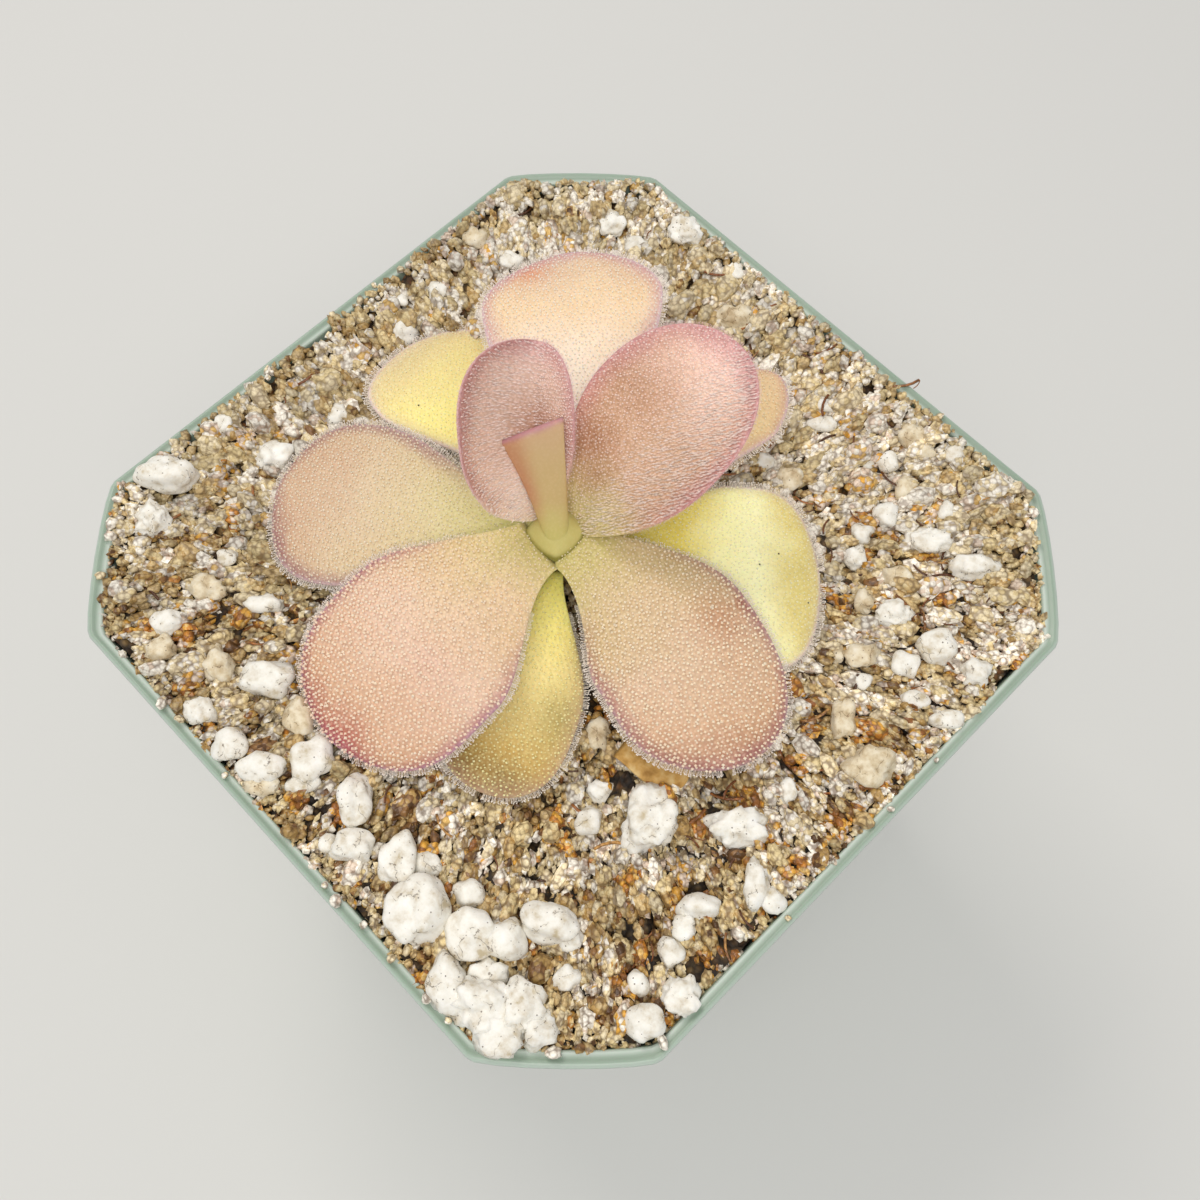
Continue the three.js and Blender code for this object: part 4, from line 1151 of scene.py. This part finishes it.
def shred_mould():
    """A bent shred of bark or root of unit length and a tenth as thick."""
    bm = bmesh.new()
    bend, radius = math.radians(50), 1 / math.radians(50)
    made = bmesh.ops.create_circle(bm, cap_ends=True, segments=5, radius=0.05)
    bmesh.ops.rotate(
        bm, cent=(0, 0, 0), verts=made["verts"], matrix=Matrix.Rotation(math.pi / 2, 3, "Y"))
    bmesh.ops.spin(
        bm, geom=bm.faces[:] + bm.edges[:] + bm.verts[:], cent=(0, radius, 0), axis=(0, 0, 1),
        dvec=(0, 0, 0), angle=bend, steps=4)
    bmesh.ops.remove_doubles(bm, verts=bm.verts, dist=0.0005)
    return mould_of(bm)


def shreds_piece(name, starts, ahead, left, long, thick, attributes):
    """One piece of shreds, each of which runs ahead and bends to its left."""
    frames = columns(
        ahead * long[:, None], left * long[:, None], np.cross(ahead, left) * thick[:, None])
    copies_piece(
        name, [shred_mould()], np.zeros(len(starts), int), starts, frames, bark, "grit",
        attributes)


def add_shreds(count):
    """Bark shreds and root hairs that lie over the grit, most of them at the right."""
    x = draw.uniform(-41, 41, count * 3)
    y = draw.uniform(-41, 41, count * 3)
    chance = draw.uniform(0, 1, len(x)) < 0.35 + 0.65 * smooth((x + y) / 60 + 0.4)
    keep = inside_pot(x, y, 40.5) & clear_of_lumps(x, y) & chance
    x, y = x[keep][:count], y[keep][:count]
    z = np.array([soil_height(a, b) for a, b in zip(x, y)]) + draw.uniform(0.7, 1.3, len(x))
    turn = draw.uniform(0, math.tau, len(x))
    tip = draw.normal(0, 0.2, len(x))
    long = draw.uniform(1.2, 3.8, len(x))
    thick = draw.uniform(1.0, 2.4, len(x))
    ahead = unit(np.stack([np.cos(turn), np.sin(turn), tip], axis=1))
    left = np.stack([-np.sin(turn), np.cos(turn), np.zeros(len(x))], axis=1)
    shreds_piece(
        "bark_shreds", np.stack([x, y, z], axis=1), ahead, left, long, thick,
        {"tint": draw.uniform(0, 1, len(x)), "shade": draw.uniform(0.7, 1.1, len(x))})


bark = gritty("bark_shred", [
    (0.0, "#5A341E"), (0.3, "#8A5028"), (0.55, "#B0703C"), (0.75, "#9A6A40"),
    (0.9, "#CC9856")], 0.4)
add_shreds(320)


# ---------------------------------------------------------------- perlite

def chalky(name, tones, stain, speck):
    """Expanded volcanic foam: chalky, finely pitted, with dark specks and a few hairline cracks."""
    material, tree, shader, coords = new_material(name)
    mottle = add_node(tree, "ShaderNodeTexNoise", None, {
        "Vector": coords, "Scale": 1 / (1.6 * MM), "Detail": 5.0, "Roughness": 0.6}).outputs["Fac"]
    tone = add_node(tree, "ShaderNodeValToRGB", None, {0: mottle}, tones).outputs["Color"]
    dots = add_node(tree, "ShaderNodeTexVoronoi", None, {"Vector": coords, "Scale": 1 / (0.5 * MM)})
    own = add_node(tree, "ShaderNodeSeparateColor", None, {
        "Color": dots.outputs["Color"]}).outputs[0]
    reach = add_node(tree, "ShaderNodeMath", {"operation": "MULTIPLY_ADD"}, {
        0: own, 1: -0.3, 2: dots.outputs["Distance"]}).outputs[0]
    dot = add_node(tree, "ShaderNodeMapRange", None, {
        "Value": reach, "From Min": speck - 0.24, "From Max": speck - 0.18, "To Min": 0.8,
        "To Max": 0.0}).outputs[0]
    wander = add_node(tree, "ShaderNodeTexNoise", None, {
        "Vector": coords, "Scale": 1 / (1.1 * MM), "Detail": 3.0}).outputs["Color"]
    bent = add_node(tree, "ShaderNodeVectorMath", {"operation": "MULTIPLY_ADD"}, {
        0: wander, 1: (1.6 * MM,) * 3, 2: coords}).outputs[0]
    seams = add_node(tree, "ShaderNodeTexVoronoi", {"feature": "DISTANCE_TO_EDGE"}, {
        "Vector": bent, "Scale": 1 / (3.4 * MM)}).outputs["Distance"]
    seam = add_node(tree, "ShaderNodeMapRange", None, {
        "Value": seams, "From Min": 0.004, "From Max": 0.014, "To Min": 1.0,
        "To Max": 0.0}).outputs[0]
    broken = add_node(tree, "ShaderNodeMapRange", None, {
        "Value": mottle, "From Min": 0.5, "From Max": 0.44, "To Max": 0.7}).outputs[0]
    crack = add_node(tree, "ShaderNodeMath", {"operation": "MULTIPLY"}, {
        0: seam, 1: broken}).outputs[0]
    dirt = add_node(tree, "ShaderNodeMath", {"operation": "MAXIMUM"}, {0: dot, 1: crack}).outputs[0]
    stained = add_node(tree, "ShaderNodeMix", {"data_type": "RGBA"}, {
        0: dirt, 6: tone, 7: stain}).outputs[2]
    pits = add_node(tree, "ShaderNodeTexNoise", None, {
        "Vector": coords, "Scale": 1 / (0.35 * MM), "Detail": 3.0}).outputs["Fac"]
    bump = add_node(tree, "ShaderNodeBump", None, {
        "Height": pits, "Strength": 0.35, "Distance": 0.12 * MM}).outputs["Normal"]
    fill(tree, shader, {
        "Base Color": stained, "Normal": bump, "Roughness": 0.85,
        **milkiness(0.3, (1.0, 0.95, 0.88), 0.5)})
    return material


PERLITE = chalky("expanded_perlite", [
    (0.30, "#C4B698"), (0.40, "#DED7C8"), (0.52, "#EEEBE1"), (0.72, "#FAF8F2")], "#4E3C2C", 0.105)
PUMICE = chalky("cream_pumice", [
    (0.30, "#B09A78"), (0.42, "#D0BE9C"), (0.55, "#E6DABF"), (0.75, "#F2EBDA")], "#6E5236", 0.12)
LUMP_KNOBS = {
    # wavelength and height of each size of knob, as shares of the lump
    0: ((0.9, 0.42), (2.1, 0.12), (5.0, 0.03)),
    1: ((1.1, 0.42), (2.5, 0.26), (4.6, 0.14), (9.0, 0.05)),
}


def perlite_lump(bm, number, lump, z, detail):
    """One lump, boxy and knobbly, with its two sizes set along the pot's diagonals."""
    x, y, across, along, rough = lump
    made = bmesh.ops.create_icosphere(bm, subdivisions=detail, radius=1.0)["verts"]
    seed = Vector((number * 3.7, number * 1.9, 5.1))
    high = 0.38 * (across + along)
    for vert in made:
        way = vert.co.copy()
        boxy = sum(abs(part) ** 2.6 for part in way) ** (-1 / 2.6)
        knob = sum(noise.noise(way * often + seed) * tall for often, tall in LUMP_KNOBS[rough])
        vert.co = way * boxy * (1 + knob)
    turn = Matrix.Rotation(math.radians(45 + 25 * math.sin(number * 2.1)), 4, "Z")
    size = Matrix.Diagonal((across / 2, along / 2, high / 2, 1))
    slant = Matrix.Rotation(math.radians(45), 4, "Z")
    place = Matrix.Translation((x, y, z)) @ slant @ size @ slant.inverted() @ turn
    bmesh.ops.transform(bm, matrix=place, verts=made)


def lump_level(lump):
    """How high a lump's middle lies: about a third of it is sunk in the mix."""
    wall = max(abs(lump[0]), abs(lump[1]), (abs(lump[0]) + abs(lump[1])) / 1.66)
    rise = 1.1 * float(smooth((wall - 33.5) / 9))
    return MIX_LEVEL + rise + 0.15 * (lump[2] + lump[3])


for number, lump in enumerate(PERLITE_LUMPS, 1):
    bm = bmesh.new()
    perlite_lump(bm, number, lump, lump_level(lump), 4)
    label = "perlite_%02d" % number
    piece_from(bm, label + "_lump", PERLITE, "perlite", label)

for name, table, first, material in (
        ("loose_perlite", LOOSE_PERLITE, 30, PERLITE), ("loose_pumice", PUMICE_LUMPS, 90, PUMICE)):
    bm = bmesh.new()
    for number, lump in enumerate(table, first):
        perlite_lump(bm, number, lump, lump_level(lump), 3)
    piece_from(bm, name, material, "perlite")


# ---------------------------------------------------------------- pot

WORN_LEVELS = {81.5: 0.3, 81.76: 0.8, 81.93: 0.5, 81.66: 0.5}     # painted highlight: pale lines along the rim's rounded edges
POT_LEVELS = [
    # half width across the flats, height
    (32.7, 0), (33.2, 0.25), (33.5, 0.8), (42.0, 70.0), (43.65, 71.0), (43.9, 71.1), (44.0, 71.35),
    (44.42, 81.2), (44.5, 81.5), (44.44, 81.76), (44.3, 81.93), (44.1, 82), (43.93, 81.95),
    (43.8, 81.84), (43.66, 81.78), (43.3, 81.76), (43.1, 81.66), (43.02, 81.4),
    (41.73, 72), (40.68, 70), (32.49, 1.6),
]
DRAIN_HOLES = [(19, 19), (-19, 19), (-19, -19), (19, -19)]
DRAIN_RADIUS = 3.5
CORNER_STEPS = 8


def pot_outline(half):
    """The pot's outline at one level: four sides and four cut corners that bow out a little."""
    scale = half / POT_HALF
    cut, bulge = CORNER_CUT * scale, CORNER_BOW * scale
    points = []
    for corner in range(4):
        turn = corner * math.pi / 2
        for step in range(CORNER_STEPS + 1):
            share = 0.5 - 0.5 * math.cos(math.pi * step / CORNER_STEPS)
            bow = bulge * math.sqrt(max(0, 1 - (2 * share - 1) ** 2)) * DIAGONAL
            x, y = half - cut * share + bow, half - cut * (1 - share) + bow
            points.append((
                x * math.cos(turn) - y * math.sin(turn), x * math.sin(turn) + y * math.cos(turn)))
    return points


def pot_bmesh():
    """The pot's wall, drawn up level by level outside and down again inside."""
    bm = bmesh.new()
    worn = bm.verts.layers.float.new("worn")
    half, z = POT_LEVELS[0]
    loop = [bm.verts.new((x, y, z)) for x, y in pot_outline(half)]
    edges = [bm.edges.new((a, b)) for a, b in zip(loop, loop[1:] + loop[:1])]
    bmesh.ops.contextual_create(bm, geom=edges)
    for half, z in POT_LEVELS[1:]:
        made = bmesh.ops.extrude_edge_only(bm, edges=edges)["geom"]
        edges = [e for e in made if isinstance(e, bmesh.types.BMEdge)]
        rim = [v for v in made if isinstance(v, bmesh.types.BMVert)]
        for vert, (x, y) in zip(rim, pot_outline(half)):
            vert.co = (x, y, z)
            # painted highlight on the rim's rounded edges
            vert[worn] = WORN_LEVELS.get(z, 0.0)
    bmesh.ops.contextual_create(bm, geom=edges)
    return bm


def drill(piece, places, radius):
    """Cuts round holes through the piece's floor."""
    bm = bmesh.new()
    for x, y in places:
        bmesh.ops.create_cone(
            bm, cap_ends=True, segments=32, radius1=radius * MM, radius2=radius * MM,
            depth=8 * MM, matrix=Matrix.Translation((x * MM, y * MM, 0)))
    mesh = bpy.data.meshes.new("drill")
    bm.to_mesh(mesh)
    bm.free()
    cutter = put("drill", mesh)
    cut = piece.modifiers.new("drain", "BOOLEAN")
    cut.operation = "DIFFERENCE"
    cut.solver = "EXACT"
    cut.object = cutter
    finished = piece.evaluated_get(bpy.context.evaluated_depsgraph_get())
    drilled = bpy.data.meshes.new_from_object(finished)
    piece.modifiers.clear()
    piece.data = drilled
    bpy.data.objects.remove(cutter)


def moulded_plastic():
    """Polypropylene moulded in sage green: satin, faintly translucent, with fine scuffs and painted
    rim highlights.
    """
    material, tree, shader, coords = new_material("moulded_polypropylene")
    cloud = add_node(tree, "ShaderNodeTexNoise", None, {
        "Vector": coords, "Scale": 1 / (14 * MM), "Detail": 3.0}).outputs["Fac"]
    green = add_node(tree, "ShaderNodeValToRGB", None, {0: cloud}, [
        (0.25, "#8EA190"), (0.5, "#93A595"), (0.75, "#99AB9B")]).outputs["Color"]
    # Painted highlight: the rim's rounded edges are drawn in a paler green.
    worn = add_node(tree, "ShaderNodeAttribute", {"attribute_name": "worn"}).outputs["Fac"]
    green = add_node(tree, "ShaderNodeMix", {"data_type": "RGBA"}, {
        0: worn, 6: green, 7: "#C6D2C8"}).outputs[2]
    scuffs = add_node(tree, "ShaderNodeTexNoise", None, {
        "Vector": coords, "Scale": 1 / (0.6 * MM), "Detail": 5.0, "Roughness": 0.7}).outputs["Fac"]
    rough = add_node(tree, "ShaderNodeMapRange", None, {
        "Value": scuffs, "To Min": 0.22, "To Max": 0.46}).outputs[0]
    bump = add_node(tree, "ShaderNodeBump", None, {
        "Height": scuffs, "Strength": 0.12, "Distance": 0.1 * MM}).outputs["Normal"]
    fill(tree, shader, {
        "Base Color": green, "Roughness": rough, "Normal": bump, "IOR": 1.49,
        **milkiness(0.2, (0.6, 1.0, 0.7), 1.2)})
    return material


pot = piece_from(pot_bmesh(), "pot_shell", moulded_plastic(), "green_plastic", "pot")
drill(pot, DRAIN_HOLES, DRAIN_RADIUS)
pot.data.set_sharp_from_angle(angle=math.radians(50))

# Grains that were spilled on the rim: place, size and tint.
RIM_STRAYS = [
    (-40.0, -34.4, 1.7, 0.70), (-38.8, -35.4, 1.3, 0.72), (-40.9, -33.6, 1.0, 0.88),
    (-42.0, -32.0, 1.0, 0.70), (-35.7, -39.2, 1.0, 0.55), (-18.9, -43.5, 1.7, 0.70),
    (-16.2, -43.2, 1.3, 0.58), (8.3, -43.5, 1.0, 0.70), (10.3, -43.7, 1.6, 0.72),
    (14.1, -43.3, 1.0, 0.70), (18.6, -43.5, 1.2, 0.60), (24.0, -43.5, 1.2, 0.72),
    (27.1, -43.4, 0.8, 0.70), (36.5, -38.0, 1.5, 0.72), (43.4, -29.7, 1.5, 0.70),
    (-29.2, 43.0, 1.5, 0.72), (-30.5, 42.9, 1.0, 0.70), (-43.6, 8.1, 0.9, 0.66),
    (-43.8, 1.6, 1.0, 0.60), (16.8, 43.6, 0.9, 0.58), (43.7, 4.0, 0.7, 0.70),
    (43.6, 11.5, 0.6, 0.70), (43.8, -12.0, 0.7, 0.55), (-8.0, -43.6, 0.7, 0.60),
]
RIM_LEVEL = 81.95
x, y, size, tint = (np.array(column) for column in zip(*RIM_STRAYS))
shape = draw.uniform(0.7, 1.3, (len(x), 3)) * size[:, None] / 2
copies_piece(
    "spilled_grains", lumps, draw.integers(0, len(lumps), len(x)),
    np.stack([x, y, RIM_LEVEL + size * 0.25], axis=1), random_turns(len(x)) * shape[:, None, :],
    grit, "grit", {"tint": tint, "shade": np.full(len(x), 1.15)})


# ---------------------------------------------------------------- crown stem and dead leaf

def plant_tissue(name, size, detail, tones, rough, wrinkles=0.0):
    """Mottled plant tissue: the moist skin of a stem, or a leaf that has dried and wrinkled."""
    material, tree, shader, coords = new_material(name)
    mottle = add_node(tree, "ShaderNodeTexNoise", None, {
        "Vector": coords, "Scale": 1 / (size * MM), "Detail": detail}).outputs["Fac"]
    colour = add_node(tree, "ShaderNodeValToRGB", None, {0: mottle}, tones).outputs["Color"]
    fill(tree, shader, {"Base Color": colour, "Roughness": rough})
    if wrinkles:
        fill(tree, shader, {"Normal": add_node(tree, "ShaderNodeBump", None, {
            "Height": mottle, "Strength": wrinkles, "Distance": 0.3 * MM}).outputs["Normal"]})
    return material


wear(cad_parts["crown"], plant_tissue(
    "stem_tissue", 2.5, 3.0, [(0.3, "#8C8A3A"), (0.5, "#A39F4E"), (0.7, "#B5B06A")], 0.45))
DRY_LEAF = plant_tissue(
    "dry_leaf_tissue", 1.2, 4.0, [(0.3, "#A07430"), (0.5, "#C89C54"), (0.7, "#DCBE82")], 0.7, 0.7)
piece_from(
    blade_bmesh(DEAD_LEAF, DEAD_LEAF_PLACE, 30, 32, []), "dead_leaf_scrap", DRY_LEAF, "dead_leaf",
    "dead_leaf")

# Small dark specks of dirt that stuck to the yellow leaves: leaf, and share along and across it.
LEAF_SPECKS = [
    ("leaf_low_right", 0.833, 0.23), ("leaf_low_right", 0.754, 0.10),
    ("leaf_low_right", 0.941, -0.40), ("leaf_low_rear_left", 0.734, 0.51),
]
SPECK_RADIUS = 0.13
places, frames = [], []
for name, t, v in LEAF_SPECKS:
    leaf = LEAVES[name]
    lift = half_thickness(leaf, v) + 0.02
    place, normal, _ = on_blade(leaf, PLANT, np.array([t]), np.array([v]), lift)
    places.append(place[0])
    frames.append(frames_along(normal)[0] * SPECK_RADIUS)
copies_piece(
    "leaf_specks", [BEAD], np.zeros(len(places), int), np.array(places), np.array(frames),
    bark, "grit", {"tint": np.zeros(len(places)), "shade": np.full(len(places), 0.5)})

# A forked twig that lies over the rim: start, direction, length and thickness of each part.
TWIG = [
    ((10.0, 42.6, 82.2), (0.84, 0.54, 0.02), 3.7, 2.4),
    ((12.2, 44.2, 82.3), (0.35, 0.9, 0.2), 1.3, 1.6),
]
starts, ways, long, thick = (np.array(column) for column in zip(*TWIG))
ways = unit(ways)
shreds_piece(
    "twig", starts, ways, unit(np.cross([0.0, 0.0, 1.0], ways)), long, thick,
    {"tint": np.full(len(starts), 0.8), "shade": np.full(len(starts), 0.9)})


# ---------------------------------------------------------------- floor, light and camera

floor_mesh = bpy.data.meshes.new("floor")
bm = bmesh.new()
bmesh.ops.create_grid(bm, x_segments=1, y_segments=1, size=1.5)
bm.to_mesh(floor_mesh)
bm.free()
floor = put("floor", floor_mesh)
paper, tree, shader, coords = new_material("pale_matt_paper")
fill(tree, shader, {"Base Color": "#D9D9D6", "Roughness": 0.8})
floor_mesh.materials.append(paper)


PLANT_MIDDLE = Vector((0, 0, 0.08))


def add_light(name, place, size, power, colour):
    """A soft square light that shines on the middle of the plant."""
    lamp = bpy.data.lights.new(name, "AREA")
    lamp.size = size
    lamp.energy = power
    lamp.color = linear(colour)[:3]
    light = put(name, lamp)
    light.location = place
    aim = PLANT_MIDDLE - Vector(place)
    light.rotation_euler = aim.to_track_quat("-Z", "Y").to_euler()


add_light("key", (-0.40, 0.08, 0.64), 0.30, 1.5, "#FFF8F0")
add_light("front", (0.24, -0.22, 0.80), 0.45, 3.4, "#FFFCF8")

world = bpy.data.worlds.new("studio")
world.use_nodes = True
fill(world.node_tree, world.node_tree.nodes["Background"], {"Color": "#F2F3F5", "Strength": 0.5})
bpy.context.scene.world = world

CAMERA_PLACE = Vector((46.05, -41.23, 223.12)) * MM
CAMERA_AHEAD = Vector((-0.2667, 0.2630, -0.9272))
CAMERA_ROLL = 0.2
lens = bpy.data.cameras.new("camera")
lens.lens = 41.0
lens.sensor_width = 36
lens.clip_start = 0.01
camera = put("camera", lens)
turn = CAMERA_AHEAD.to_track_quat("-Z", "Y").to_matrix().to_4x4()
camera.matrix_world = (
    Matrix.Translation(CAMERA_PLACE) @ turn @ Matrix.Rotation(math.radians(CAMERA_ROLL), 4, "Z"))
bpy.context.scene.camera = camera
bpy.context.scene.view_settings.view_transform = "Standard"
